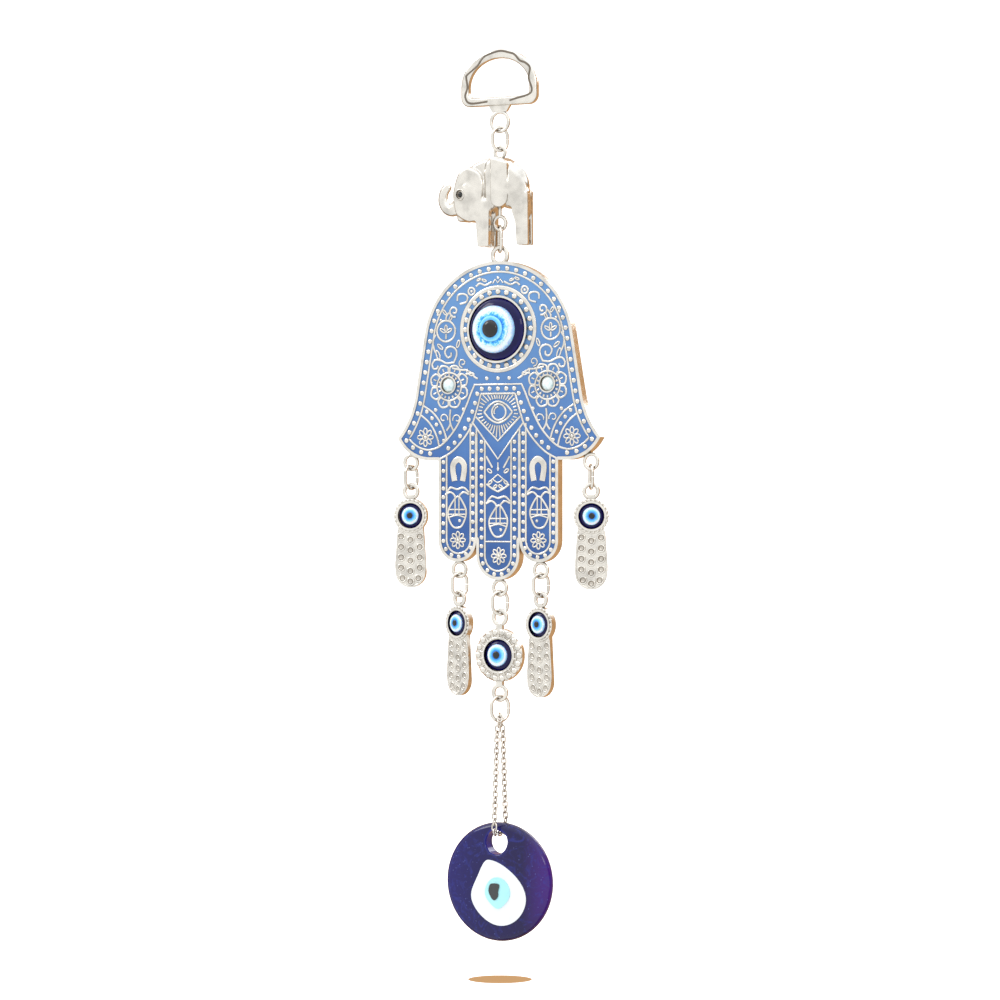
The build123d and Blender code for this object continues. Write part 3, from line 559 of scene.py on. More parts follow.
def bars(lines, width, rise, material, sides=8):
    tree = tree_named("raised_line", raised_line_tree)
    return grown(line_mesh(lines), tree, width=width, rise=rise, sides=sides, material=material)


def beads(points, radius, flatness, material):
    """Beads at (x, y, size) or (x, y, z, size) points, in millimetres."""
    mesh = bpy.data.meshes.new("points")
    mesh.from_pydata([Vector((*point[:-1], 0.0)[:3]) * MM for point in points], [], [])
    size = mesh.attributes.new("size", "FLOAT", "POINT")
    size.data.foreach_set("value", [point[-1] for point in points])
    return grown(mesh, tree_named("bead_row", bead_tree), radius=radius, flatness=flatness,
                 material=material)


# ---- mesh pieces -----------------------------------------------------------------------------
def finish_of(name):
    return bpy.data.materials[LOOK + name]


def joined(pieces):
    """One bmesh from (mesh, matrix) pairs."""
    whole = bmesh.new()
    for mesh, matrix in pieces:
        part = mesh.copy()
        part.transform(matrix)
        whole.from_mesh(part)
        bpy.data.meshes.remove(part)
    return whole


def make_piece(name, whole, finish, body, replaces=()):
    """Turn a bmesh into a finished piece that rides on a body."""
    mesh = bpy.data.meshes.new(name)
    whole.to_mesh(mesh)
    whole.free()
    mesh.materials.clear()
    mesh.materials.append(finish_of(finish))
    mesh.polygons.foreach_set("material_index", [0] * len(mesh.polygons))
    mesh.shade_smooth()
    piece = bpy.data.objects.new(name, mesh)
    bpy.context.scene.collection.objects.link(piece)
    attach(piece, body)
    if replaces:
        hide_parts(*replaces)
    return piece


def turned(profile, segments=64, wobble=None):
    """A closed turning about +z from (radius, height) points in mm, top centre last.

    Its 'shade' value runs from the middle to the edge, and wobble changes the radius by angle."""
    edge = max(radius for radius, _ in profile)
    mesh = bmesh.new()
    shade = mesh.verts.layers.float.new("shade")
    rings = []
    for radius, height in profile:
        ring = []
        for step in range(segments if radius > 0 else 1):
            angle = math.tau * step / segments
            reach = radius * (1 + (wobble(angle) if wobble else 0.0) * min(1.0, 1.4 * radius / edge))
            vertex = mesh.verts.new(Vector((reach * math.cos(angle), reach * math.sin(angle), height)) * MM)
            vertex[shade] = radius / edge
            ring.append(vertex)
        rings.append(ring)
    for low, high in zip(rings, rings[1:]):
        for step in range(segments):
            follow = (step + 1) % segments
            corners = [low[step % len(low)], low[follow % len(low)],
                       high[follow % len(high)], high[step % len(high)]]
            corners = [c for k, c in enumerate(corners) if c not in corners[:k]]
            if len(corners) > 2:
                mesh.faces.new(corners)
    bmesh.ops.recalc_face_normals(mesh, faces=mesh.faces)
    result = bpy.data.meshes.new("turned")
    mesh.to_mesh(result)
    mesh.free()
    return result


def button(radius, low, high, round_off, crown=0.0, steps=6):
    """Profile of a round button with a rounded upper edge and a slightly domed top."""
    points = [(0.0, low), (radius, low)]
    for step in range(steps + 1):
        angle = math.radians(90 * step / steps)
        points.append((radius - round_off * (1 - math.cos(angle)),
                       high - round_off * (1 - math.sin(angle))))
    inner = radius - round_off
    for step in range(1, 5):
        share = 1 - step / 5
        points.append((inner * share, high + crown * (1 - share ** 2)))
    return points + [(0.0, high + crown)]


def dome(radius, low, rise, bulge=1.0, steps=14):
    """Profile of a dome; a bulge above 1 makes it fuller at the edge."""
    points = [(0.0, low)]
    for step in range(steps):
        angle = math.radians(90 * step / steps)
        points.append((radius * math.cos(angle) ** (1 / bulge), low + rise * math.sin(angle)))
    return points + [(0.0, low + rise)]


def splash(seed, amount):
    """Uneven edge of a drop of resin."""
    def reach(angle):
        return amount * sum(math.sin(k * angle + seed * k * 1.7) / k ** 0.7 for k in (2, 3, 5, 8, 13)) / 2
    return reach


# ---- the hand's relief -----------------------------------------------------------------------
ARCH = (0.0, -26.7)
FLARE = (56.6, -37.1)
THUMB = (24.5, -48.92)
LEAN = 9.9
EYE_Y = -21.2


def palm_path(inset, flare_end, thumb_start):
    """Right half of a line inside the palm's outline, from the top to the thumb's underside."""
    return (arc(*ARCH, 26.7 - inset, 90, LEAN, 30) + arc(*FLARE, 27.25 + inset, 180 + LEAN, flare_end, 12)
            + arc(*THUMB, 13.28 - inset, thumb_start, -90, 12))


def draw_borders(art):
    inner = palm_path(3.3, 216.8, -40.4)
    inner += smooth([(24.5, -58.9), (21.4, -58.0), (18.5, -55.8), (14.8, -51.5), (11.5, -45.3),
                     (9.8, -41.4), (8.4, -38.5)])[1:]
    art.line(inner + flipped(inner)[::-1][:-1], closed=True)
    band = smooth([(6.1, -41.4), (6.94, -44.3), (8.2, -48.2), (9.2, -50.8), (11.5, -54.4), (14.8, -58.0),
                   (17.7, -60.2), (21.2, -61.9)])
    art.line(band, both=True)
    art.line([(-6.1, -41.4), (6.1, -41.4)])
    art.bead(spaced(palm_path(2.15, 218.5, -35.5), 3.25), both=True)
    art.bead([(8.2, -44.3), (9.2, -47.0), (10.5, -49.5), (11.9, -52.2), (13.6, -54.6), (15.6, -56.7),
              (17.9, -58.4), (7.4, -41.4)], 0.95, both=True)
    art.bead([(-5.8, -39.85), (-3, -39.85), (0, -39.85), (3, -39.85), (5.8, -39.85)], 0.95)
    art.bead([(-4, -36.6), (0, -36.6), (4, -36.6)], 0.8)


def draw_eye_ring(art):
    art.line(oval(0, EYE_Y, 13.0, 13.0, 72), closed=True, weight="bold")
    art.bead([(11.65 * math.sin(math.tau * k / 24), EYE_Y - 11.65 * math.cos(math.tau * k / 24))
              for k in range(24)], 1.12)


def draw_fingers(art):
    outer = [(9.9, -50.7)] + arc(14.2, -87.2, 4.3, 180, 360) + [(18.5, -60.3)]
    middle = [(-4.7, -56.1)] + arc(0, -92.2, 4.7, 180, 360) + [(4.7, -56.1)]
    art.line(outer, both=True)
    art.line(middle)
    art.line([(7.7, -52.3), (7.7, -54.6)], both=True)
    art.line([(-7.95, -48.6), (0, -56.2), (7.95, -48.6)])
    art.line([(-9.3, -50.2), (0, -61.9), (9.3, -50.2)])
    outer_beads = [(19.65, -62.8)] + arc(14.35, -87.2, 5.35, 360, 180) + [(9.0, -54.0)]
    middle_beads = [(-5.9, -56.5)] + arc(0, -92.2, 5.9, 180, 360) + [(5.9, -56.5)]
    art.bead(spaced(outer_beads, 2.75), 0.92, both=True)
    art.bead(spaced(middle_beads, 2.75), 0.92)
    art.line([(-4.7, -87.7), (4.7, -87.7)], weight="fine")


def frame_reach(x, y, angle):
    """How far a ray runs inside the five-sided frame of the small eye."""
    corners = [(-6.1, -41.4), (6.1, -41.4), (7.95, -48.6), (0, -56.2), (-7.95, -48.6)]
    dx, dy = math.cos(angle), math.sin(angle)
    best = 99.0
    for (ax, ay), (bx, by) in zip(corners, corners[1:] + corners[:1]):
        ex, ey = bx - ax, by - ay
        cross = dx * ey - dy * ex
        if abs(cross) < 1e-6:
            continue
        reach = ((ax - x) * ey - (ay - y) * ex) / cross
        along = ((ax - x) * dy - (ay - y) * dx) / cross
        if reach > 0 and -0.001 <= along <= 1.001:
            best = min(best, reach)
    return best


def draw_small_eye(art):
    x, y = 0.1, -47.2
    for side in (1, -1):
        art.line(smooth([(x - 5.06, y), (x - 2.8, y + 2.3 * side), (x, y + 3.35 * side),
                         (x + 2.8, y + 2.3 * side), (x + 5.06, y)]))
    art.line(oval(0.3, y, 2.5, 2.5), closed=True)
    art.line(arc(0.3, y, 1.7, 95, 200, 8), weight="fine")
    for ray in range(36):
        angle = math.tau * (ray + 0.5) / 36
        dx, dy = math.cos(angle), math.sin(angle)
        near = 1 / math.hypot(dx / 5.7, dy / 4.2)
        far = frame_reach(x, y, angle) - 0.5
        if far - near > 0.5:
            art.line([(x + near * dx, y + near * dy), (x + far * dx, y + far * dy)], weight="fine")


def draw_rosette(art, x, y, radius):
    """A flower of eight open petals round a bead."""
    for petal in range(8):
        turn = 45 * petal
        middle = polar(x, y, 0.64 * radius, turn)
        art.line(oval(*middle, 0.34 * radius, 0.21 * radius, 12, turn), closed=True, weight="fine")
    art.bead([(x, y)], 0.8)


def draw_thumbs(art):
    art.line(smooth([(26.8, -45), (23.5, -47.1), (21.0, -50.0), (19.3, -53.3), (18.5, -56.2)]), both=True)
    art.line(smooth([(27.8, -47.9), (25.1, -50.0), (23.1, -52.6), (21.8, -55.5), (21.2, -58.0)]), both=True)
    art.bead([(25.7, -46.8), (23.8, -48.9), (22.2, -50.9), (20.8, -53.5), (19.5, -56.0)], 0.85, both=True)
    for side in (-1, 1):
        draw_rosette(art, side * 26.2, -54.9, 2.95)
        draw_rosette(art, side * 14.4, -87.3, 2.75)
    draw_rosette(art, 0.3, -92.2, 2.7)


def draw_horseshoe(art):
    shoe = [(-1.7, -68.7), (-2.4, -65.4), (-2.1, -63.2), (0, -61.9), (2.1, -63.2), (2.4, -65.4),
            (1.7, -68.7)]
    for side in (-1, 1):
        art.line(smooth([(side * 14.2 + 0.85 * x, y) for x, y in shoe]), weight="heavy")


def draw_fish(art, x, drop, side):
    """A fish hanging tail up; side turns its eye towards the middle."""
    def put(points):
        return [(x + side * px, py - drop) for px, py in points]

    body = [(-.96, -73.9), (-2.86, -76.9), (-3.27, -79.0), (-2.5, -81.4), (-1.14, -83.2), (1.27, -83.2),
            (2.8, -81.1), (3.27, -78.7), (2.5, -76.6), (.41, -73.9)]
    art.line(smooth(put(body), closed=True, steps=4), closed=True)
    art.line(smooth(put([(-4.3, -72.4), (-2.4, -70.8), (0, -71.3), (2.3, -70.8), (3.9, -72.4)])))
    for end in (-1, 1):
        fin = [(4.3 * end, -73.0), (2.5 * end, -72.2), (1.1 * end, -73.0), (0.7 * end, -73.9)]
        art.line(smooth(put(fin)))
        art.line(put([(0.7 * end, -73.9), (0.7 * end, -79.2)]), weight="fine")
    art.line(put([(-2.9, -77.7), (2.9, -77.7)]), weight="fine")
    art.line(put([(-3.1, -79.2), (3.1, -79.2)]), weight="fine")
    art.line(smooth(put([(-2.9, -80.2), (0, -79.5), (3.0, -80.2)])), weight="fine")
    art.bead(put([(-0.9, -81.2)]), 0.65)


def draw_lotus(art):
    art.line([(4.2, -61.0), (2.0, -64.6)], both=True)
    art.line(oval(3.0, -65.6, 0.9, 0.45, 12, 35), closed=True, weight="fine", both=True)
    art.line([(-2.4, -68.5), (0, -66.7), (2.4, -68.5)], weight="fine")
    art.line(smooth([(-1.7, -68.3), (0, -69.2), (1.7, -68.3)]), weight="fine")
    art.line(smooth([(4.1, -69.7), (2.4, -70.9), (0, -72.1)]), both=True)
    art.line(oval(2.8, -69.2, 0.8, 0.4, 12, -40), closed=True, weight="fine", both=True)
    art.line(oval(0.95, -70.5, 0.75, 0.4, 12, -35), closed=True, weight="fine", both=True)
    art.line([(0, -62.9), (0, -65.6)], weight="fine")
    art.bead([(0, -64.9)], 0.6)


def polar(x, y, radius, degrees):
    angle = math.radians(degrees)
    return x + radius * math.cos(angle), y + radius * math.sin(angle)


def draw_flower(art):
    x, y = 17.6, -39.0
    art.line(oval(x, y, 4.4, 4.4, 36), closed=True, both=True)
    for petal in range(8):
        turn = 45 * petal + 22.5
        outline = [polar(x, y, reach, turn + off) for reach, off in (
            (4.4, -19), (6.1, -18), (7.0, 0), (6.1, 18), (4.4, 19))]
        art.line(smooth(outline), both=True)
        art.line([polar(x, y, 4.9, turn), polar(x, y, 6.0, turn)], weight="fine", both=True)
    for claw in range(16):
        turn = 22.5 * claw
        art.line([polar(x, y, 3.1, turn), polar(x, y, 3.9, turn)], both=True)
    art.line(smooth([(17.1, -46.2), (17.3, -48.4), (17.1, -50.8), (15.8, -53.2)]), both=True)
    art.line(smooth([(17.1, -50.6), (17.7, -51.8), (18.5, -52.8)]), both=True)
    art.line(spiral(14.7, -49.2, 1.6, 0.5, -20, 330), weight="fine", both=True)
    art.line(spiral(19.6, -49.0, 1.6, 0.5, 200, -330), weight="fine", both=True)
    art.bead([(22.5, -46.3), (12.4, -46.2)], 0.8, both=True)


def draw_vines(art):
    def stem(*points, weight="plain"):
        art.line(smooth(list(points)), weight=weight, both=True)

    def leaf(x, y, length, turn):
        art.line(oval(x, y, length, 0.38 * length, 14, turn), closed=True, weight="fine", both=True)

    stem((7.2, -36.7), (8.6, -35.9), (9.0, -34.9), (11.5, -35.2))
    leaf(10.1, -34.9, 1.3, 30)
    stem((10.7, -33.8), (13.1, -33.8), (16.4, -33.2))
    art.line(spiral(12.7, -31.6, 1.5, 0.4, -90, 400), weight="fine", both=True)
    stem((16.0, -31.4), (18.5, -31.6), (20.6, -30.7), (22.6, -30.5), (23.7, -31.8), (23.3, -33.2),
         (22.0, -33.2), (21.6, -32.3))
    stem((16.0, -31.6), (14.9, -29.1), (15.2, -27.3), (16.9, -26.4), (18.5, -26.9), (19.1, -28.3),
         (18.1, -29.8), (16.9, -29.4), (16.9, -28.3))
    leaf(21.6, -29.0, 1.5, 70)
    leaf(14.3, -25.6, 1.2, 110)
    leaf(20.8, -26.4, 1.2, 40)
    art.line(oval(18.7, -21.5, 3.3, 3.3, 30), closed=True, both=True)
    for turn in (90, 30, 150):
        px, py = polar(18.7, -22.0, 1.3, turn)
        leaf(px, py, 1.1, turn)
    stem((18.7, -24.0), (18.7, -22.4))
    stem((22.4, -22.5), (23.4, -24.4), (23.2, -26.6), (22.4, -28.4))
    art.line(spiral(15.8, -15.3, 1.9, 0.4, 250, 430), both=True)
    stem((17.6, -15.6), (18.6, -17.0), (18.7, -18.3))
    leaf(19.2, -15.6, 1.0, 50)
    leaf(17.0, -17.4, 1.0, 120)
    art.bead([(20.6, -18.0), (21.7, -16.2)], 0.6, both=True)
    stem((13.6, -13.1), (11.3, -12.4), (11.1, -10.6), (12.7, -9.9), (14.4, -10.4), (14.6, -12.1))
    art.line(oval(9.5, -9.2, 1.15, 1.15, 16), closed=True, both=True)
    art.bead([(9.5, -9.2)], 0.6, both=True)
    stem((2.2, -6.4), (4.5, -7.4), (6.5, -6.8), (7.8, -7.7))
    leaf(4.9, -5.9, 0.8, 20)
    leaf(6.8, -5.6, 0.8, -20)
    art.line([(-1.8, -6.9), (-0.9, -5.6), (0, -6.8), (0.9, -5.6), (1.8, -6.9)], weight="fine")
    art.bead([(0, -5.2)], 0.6)


def draw_hand():
    art = Drawing()
    for draw in (draw_borders, draw_eye_ring, draw_fingers, draw_small_eye, draw_thumbs, draw_horseshoe,
                 draw_lotus, draw_flower, draw_vines):
        draw(art)
    draw_fish(art, -14.7, 0.0, -1)
    draw_fish(art, 14.7, 0.0, 1)
    draw_fish(art, 0.1, 2.8, -1)
    return art


# ---- operators -------------------------------------------------------------------------------
class HANGING_OT_stage(bpy.types.Operator):
    """Floor, backdrop, soft lights and the camera"""
    bl_idname = "hanging.stage"
    bl_label = "Stage"

    def execute(self, context):
        low, high = CAD_BOUNDS
        middle = Vector((0.0, 0.0, (low[2] + high[2]) / 2 - 1.5 * MM))
        size = sizes()
        turn = size.view_turn
        towards = Vector((math.sin(turn), -math.cos(turn), 0.0))
        lens = bpy.data.cameras.new("camera")
        lens.lens = lens.sensor_width * size.view_distance / size.view_height
        lens.clip_end = 20.0
        camera = bpy.data.objects.new("camera", lens)
        camera.location = middle + towards * size.view_distance
        camera.rotation_euler = (math.radians(90), 0.0, turn)
        context.scene.collection.objects.link(camera)
        context.scene.camera = camera
        context.scene.view_settings.view_transform = "Standard"
        self.add_floor(context, low[2] - 12 * MM)
        self.add_light(context, "key", (-0.9, -0.5, 0.8), 0.5, 3.4, (1.0, 0.99, 0.97), middle)
        self.add_light(context, "fill", (1.0, -0.5, 0.5), 0.3, 1.0, (1.0, 0.93, 0.84), middle)
        self.add_light(context, "back", (0.2, 0.9, 0.6), 0.6, 3.0, (0.95, 0.98, 1.0), middle)
        self.add_world(context)
        return {"FINISHED"}

    def add_floor(self, context, level):
        """A pale round floor, open at its centre, whose rim sweeps up into a wall on every side."""
        opening, reach, bend, height, sides = 0.01, 4.0, 0.5, 3.0, 64
        section = [(opening, level), (reach - bend, level)]
        section += [(reach - bend + bend * math.sin(math.radians(turn)),
                     level + bend - bend * math.cos(math.radians(turn))) for turn in range(10, 91, 10)]
        section.append((reach, level + height))
        corners = [(r * math.cos(math.tau * k / sides), r * math.sin(math.tau * k / sides), z)
                   for r, z in section for k in range(sides)]
        faces = [(ring * sides + k, ring * sides + (k + 1) % sides, (ring + 1) * sides + (k + 1) % sides,
                  (ring + 1) * sides + k) for ring in range(len(section) - 1) for k in range(sides)]
        mesh = bpy.data.meshes.new("floor")
        mesh.from_pydata(corners, [], faces)
        mesh.shade_smooth()
        floor = bpy.data.objects.new("floor", mesh)
        context.scene.collection.objects.link(floor)
        pale = Finish("pale_floor")
        pale.set(Base_Color=pale.ramp(pale.noise(3.0), [(0.3, (0.9, 0.9, 0.9)), (0.7, (0.93, 0.93, 0.93))]),
                 Roughness=0.9, Emission_Color=(1.0, 1.0, 1.0, 1.0), Emission_Strength=0.55)
        mesh.materials.append(pale.material)
        floor.visible_glossy = False
        floor.visible_diffuse = False
        floor.visible_shadow = False
        floor.visible_transmission = False

    def add_light(self, context, name, place, size, power, colour, target):
        light = bpy.data.lights.new(name, "AREA")
        light.size = size
        light.energy = power
        light.color = colour
        lamp = bpy.data.objects.new(name, light)
        lamp.location = Vector(place) + target
        lamp.rotation_euler = (-Vector(place)).to_track_quat("-Z", "Y").to_euler()
        context.scene.collection.objects.link(lamp)

    def add_world(self, context):
        """White in front and overhead, warm and dim behind, for the plate to reflect."""
        world = bpy.data.worlds.new("surround")
        world.use_nodes = True
        nodes, links = world.node_tree.nodes, world.node_tree.links
        place = nodes.new("ShaderNodeTexCoord")
        split = nodes.new("ShaderNodeSeparateXYZ")
        links.new(place.outputs["Generated"], split.inputs["Vector"])
        cloud = nodes.new("ShaderNodeTexNoise")
        cloud.inputs["Scale"].default_value = 2.2
        links.new(place.outputs["Generated"], cloud.inputs["Vector"])
        uneven = nodes.new("ShaderNodeMath")
        uneven.operation = "MULTIPLY_ADD"
        uneven.inputs[1].default_value = 0.9
        links.new(cloud.outputs["Fac"], uneven.inputs[0])
        links.new(split.outputs["Y"], uneven.inputs[2])
        round_about = nodes.new("ShaderNodeValToRGB")
        stops = round_about.color_ramp.elements
        stops[0].position, stops[0].color = 0.28, (1.0, 1.0, 0.98, 1.0)
        stops[1].position, stops[1].color = 0.62, (0.07, 0.055, 0.03, 1.0)
        tan = stops.new(0.85)
        tan.color = (0.62, 0.36, 0.17, 1.0)
        links.new(uneven.outputs[0], round_about.inputs["Fac"])
        overhead = nodes.new("ShaderNodeMapRange")
        overhead.inputs["From Min"].default_value = 0.35
        overhead.inputs["From Max"].default_value = 0.95
        links.new(split.outputs["Z"], overhead.inputs["Value"])
        blend = nodes.new("ShaderNodeMix")
        blend.data_type = "RGBA"
        blend.inputs[7].default_value = (1.5, 1.55, 1.6, 1.0)
        links.new(overhead.outputs["Result"], blend.inputs[0])
        links.new(round_about.outputs["Color"], blend.inputs[6])
        links.new(blend.outputs[2], nodes["Background"].inputs["Color"])
        nodes["Background"].inputs["Strength"].default_value = 1.03
        context.scene.world = world


class HANGING_OT_metalwork(bpy.types.Operator):
    """Plate the castings, links and chain, and set the enamel, stones and disc glass"""
    bl_idname = "hanging.metalwork"
    bl_label = "Metal, Enamel and Glass Finishes"

    def execute(self, context):
        make_finishes()
        own = {"hand_enamel": "sky_enamel", "flower_stones": "pale_stone", "disc_glass": "cobalt_glass",
               "disc_white": "milk_glass", "disc_cyan": "aqua_glass", "disc_pupil": "black_glass"}
        for name, node in NODES.items():
            wire = "link" in name or name.startswith("chain")
            finish = own.get(name, "wire_silver" if wire else "cast_silver")
            node.data.materials.clear()
            node.data.materials.append(finish_of(finish))
        return {"FINISHED"}


class HANGING_OT_hanger(bpy.types.Operator):
    """A dark wavy line on the hanger's front: a painted reflection on the domed band"""
    bl_idname = "hanging.hanger"
    bl_label = "Hanger Line"

    def execute(self, context):
        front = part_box("hanger")[0].y
        wave = [(-3.8, -13.4), (-10.0, -13.7), (-11.8, -11.5), (-11.0, -8.7), (-11.4, -5.8), (-11.0, -4.6),
                (-7.4, -2.0), (-6.0, -.2), (-4.2, 1.1), (.5, 2.2), (4.1, 1.5), (5.9, .8), (7.7, -1.1),
                (9.8, -2.0), (11.3, -3.6), (10.9, -6.8), (12.0, -10.2), (10.9, -11.8), (6.2, -12.9),
                (4.1, -13.4)]
        # a dark bar standing in for the reflection on the domed band: painted reflection
        line = bars([(smooth(wave, steps=8), False)], 0.0007, 0.00012, finish_of("painted_reflection_line"))
        place = Matrix.Translation((0.0, front, 0.0)) @ UPRIGHT
        make_piece("hanger_line", joined([(line, place)]), "painted_reflection_line", "hanger")
        return {"FINISHED"}


class HANGING_OT_hand(bpy.types.Operator):
    """Raised lines and beads of the hand"""
    bl_idname = "hanging.hand"
    bl_label = "Hand Relief"

    def execute(self, context):
        size = sizes()
        low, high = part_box("hand_enamel")
        art = draw_hand()
        silver = finish_of("cast_silver")
        widths = {"plain": size.line_width, "fine": size.fine_width, "bold": size.bold_width,
                  "heavy": 1.5 * size.bold_width}
        place = Matrix.Translation((0.0, low.y + 0.02 * MM, high.z + 1.0 * MM)) @ UPRIGHT
        pieces = [(bars(art.lines[weight], width, size.line_height, silver), place)
                  for weight, width in widths.items()]
        pieces.append((beads(art.beads, size.bead_radius, 0.62, silver), place))
        make_piece("hand_relief", joined(pieces), "cast_silver", "hand")
        return {"FINISHED"}


EYE_LAYERS = ("base", "white", "iris", "pupil")


def make_eye(prefix, body, turn, radius, layers):
    """Resin layers of one eye, put over the CAD eye's own layers.

    Each layer is (name, finish, profile, wobble, shift), its sizes as shares of the radius."""
    low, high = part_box(f"{prefix}_base")
    middle = (low + high) / 2
    spin = Matrix.Rotation(math.radians(turn), 4, "Z")
    back = Vector((middle.x, 0.0, middle.z))
    base_y = high.y if turn == 0 else None
    if base_y is None:
        outward = spin @ Vector((0.0, -1.0, 0.0))
        reach = max((Vector(v.co) - back).dot(-outward) for v in NODES[f"{prefix}_base"].data.vertices)
        spot = back - outward * reach
        centre = sum((Vector(v.co) for v in NODES[f"{prefix}_base"].data.vertices), Vector()) / len(
            NODES[f"{prefix}_base"].data.vertices)
        side = spin @ Vector((1.0, 0.0, 0.0))
        spot = spot + side * (centre - spot).dot(side)
        spot.z = middle.z
    else:
        spot = Vector((middle.x, base_y, middle.z))
    place = Matrix.Translation(spot) @ spin @ UPRIGHT
    for layer, finish, profile, wobble, shift in layers:
        scaled_profile = [(r * radius, h * radius) for r, h in profile]
        mesh = turned(scaled_profile, 72, wobble)
        move = Matrix.Translation(Vector((shift[0], shift[1], 0.0)) * radius * MM)
        replaced = (f"{prefix}_{layer}",) if layer in EYE_LAYERS else ()
        make_piece(f"{prefix}_{layer}_cast", joined([(mesh, place @ move)]), finish, body, replaced)


class HANGING_OT_eyes(bpy.types.Operator):
    """Poured layers of the centre eye, the charms' eyes and the medallion's eye"""
    bl_idname = "hanging.eyes"
    bl_label = "Resin Eyes"

    def execute(self, context):
        big = [
            ("base", "cobalt_resin", dome(1.0, 0.0, 0.36, 1.5), None, (0, 0)),
            ("white", "white_resin", button(0.75, 0.1, 0.4, 0.09, 0.05), splash(1.0, 0.012),
             (-0.01, -0.01)),
            ("splash", "splash_and_painted_shadow_resin", button(0.57, 0.3, 0.46, 0.02, 0.02), splash(2.3, 0.07), (0.0, 0.0)),
            ("iris", "sky_resin", button(0.41, 0.4, 0.51, 0.04, 0.03), splash(0.7, 0.02), (-0.02, 0.0)),
            ("pupil", "black_gloss", dome(0.3, 0.44, 0.2, 1.5), None, (-0.02, 0.0)),
        ]
        make_eye("centre_eye", "hand", 0.0, 9.9, big)
        small = [
            ("base", "cobalt_resin", dome(1.0, 0.0, 0.4, 1.5), None, (0, 0)),
            ("white", "white_resin", button(0.69, 0.1, 0.47, 0.09, 0.05), splash(1.4, 0.02), (0.0, 0)),
            ("iris", "sky_resin", button(0.5, 0.3, 0.55, 0.05, 0.03), splash(0.4, 0.05), (0.02, 0.02)),
            ("pupil", "black_gloss", dome(0.28, 0.46, 0.18, 1.5), None, (0.02, 0.02)),
        ]
        for name, turn in CHARM_TURNS.items():
            make_eye(f"eye_{name}", f"charm_{name}", turn, 4.0, small)
        make_eye("medallion_eye", "medallion", 0.0, 5.0, small)
        return {"FINISHED"}


class HANGING_OT_charms(bpy.types.Operator):
    """Notched bezels and raised dimple lips of the four charms"""
    bl_idname = "hanging.charms"
    bl_label = "Charm Details"

    def execute(self, context):
        silver = finish_of("cast_silver")
        for name, turn in CHARM_TURNS.items():
            low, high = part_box(f"link_{name}")
            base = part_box(f"eye_{name}_base")
            x = (low.x + high.x) / 2
            eye_z = (base[0].z + base[1].z) / 2
            place = (Matrix.Translation((x, 0.0, eye_z)) @ Matrix.Rotation(math.radians(turn), 4, "Z")
                     @ UPRIGHT)
            notches = [(*polar(0, 0, 4.83, 360 * k / 22), 0.8, 1.0)
                       for k in range(22)]
            lips = []
            for row in range(5):
                for column in (-1, 0, 1):
                    spread = 3.05 if row < 4 else 2.6
                    y = -6.6 - 3.3 * row - (1.05 if column == 0 else 0.0)
                    ring = oval(column * spread, y, 1.12, 1.12, 16)
                    lips.append(([(px, py, 0.78) for px, py in ring], True))
            edge = smooth([(-4.0, -4.6, 0.7), (-4.4, -10.0, 0.7), (-4.75, -16.8, 0.7), (-3.6, -20.6, 0.7),
                           (0.0, -22.4, 0.7), (3.6, -20.6, 0.7), (4.75, -16.8, 0.7), (4.4, -10.0, 0.7),
                           (4.0, -4.6, 0.7)])
            pieces = [(beads(notches, 0.62 * MM, 0.75, silver), place),
                      (bars(lips, 0.0005, 0.00025, silver), place),
                      (bars([(edge, False)], 0.0006, 0.00022, silver), place)]
            make_piece(f"charm_{name}_edge", joined(pieces), "cast_silver", f"charm_{name}")
        return {"FINISHED"}


class HANGING_OT_medallion(bpy.types.Operator):
    """Domed lobes and prongs round the medallion's eye"""
    bl_idname = "hanging.medallion"
    bl_label = "Medallion Lobes"

    def execute(self, context):
        silver = finish_of("cast_silver")
        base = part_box("medallion_eye_base")
        middle = (base[0] + base[1]) / 2
        place = Matrix.Translation((middle.x, 0.0, middle.z)) @ UPRIGHT
        lobes = [(*polar(0, 0, 7.25, 360 * k / 18), 0.7, 1.0) for k in range(18)]
        prongs = [([(*polar(0, 0, 5.2, 20 * k + 10), 1.3), (*polar(0, 0, 6.5, 20 * k + 10), 1.0)], False)
                  for k in range(18)]
        ring = [([(x, y, 1.1) for x, y in oval(0, 0, 5.55, 5.55, 60)], True)]
        pieces = [(beads(lobes, 1.12 * MM, 0.85, silver), place),
                  (bars(prongs, 0.0007, 0.0004, silver), place),
                  (bars(ring, 0.0007, 0.0005, silver), place)]
        make_piece("medallion_rim", joined(pieces), "cast_silver", "medallion")
        return {"FINISHED"}


# ---- elephant --------------------------------------------------------------------------------
def add_ball(mesh, centre, radii, turn=0.0):
    """An egg in the casting; x along the back, y up, z across."""
    matrix = (Matrix.Translation(Vector(centre) * MM) @ Matrix.Rotation(math.radians(turn), 4, "Z")
              @ Matrix.Diagonal((*[r * MM for r in radii], 1.0)))
    bmesh.ops.create_icosphere(mesh, subdivisions=4, radius=1.0, matrix=matrix)


def add_slab(mesh, outline, low, high):
    """A flat outline given thickness."""
    front = [mesh.verts.new(Vector((x, y, high)) * MM) for x, y in outline]
    back = [mesh.verts.new(Vector((x, y, low)) * MM) for x, y in outline]
    mesh.faces.new(front)
    mesh.faces.new(back[::-1])
    for k in range(len(outline)):
        j = (k + 1) % len(outline)
        mesh.faces.new((front[j], front[k], back[k], back[j]))


def add_limb(mesh, path, steps=8):
    """Overlapping eggs along (x, y, z, radius) points."""
    for point in smooth(path, steps=steps):
        add_ball(mesh, point[:3], (point[3],) * 3)


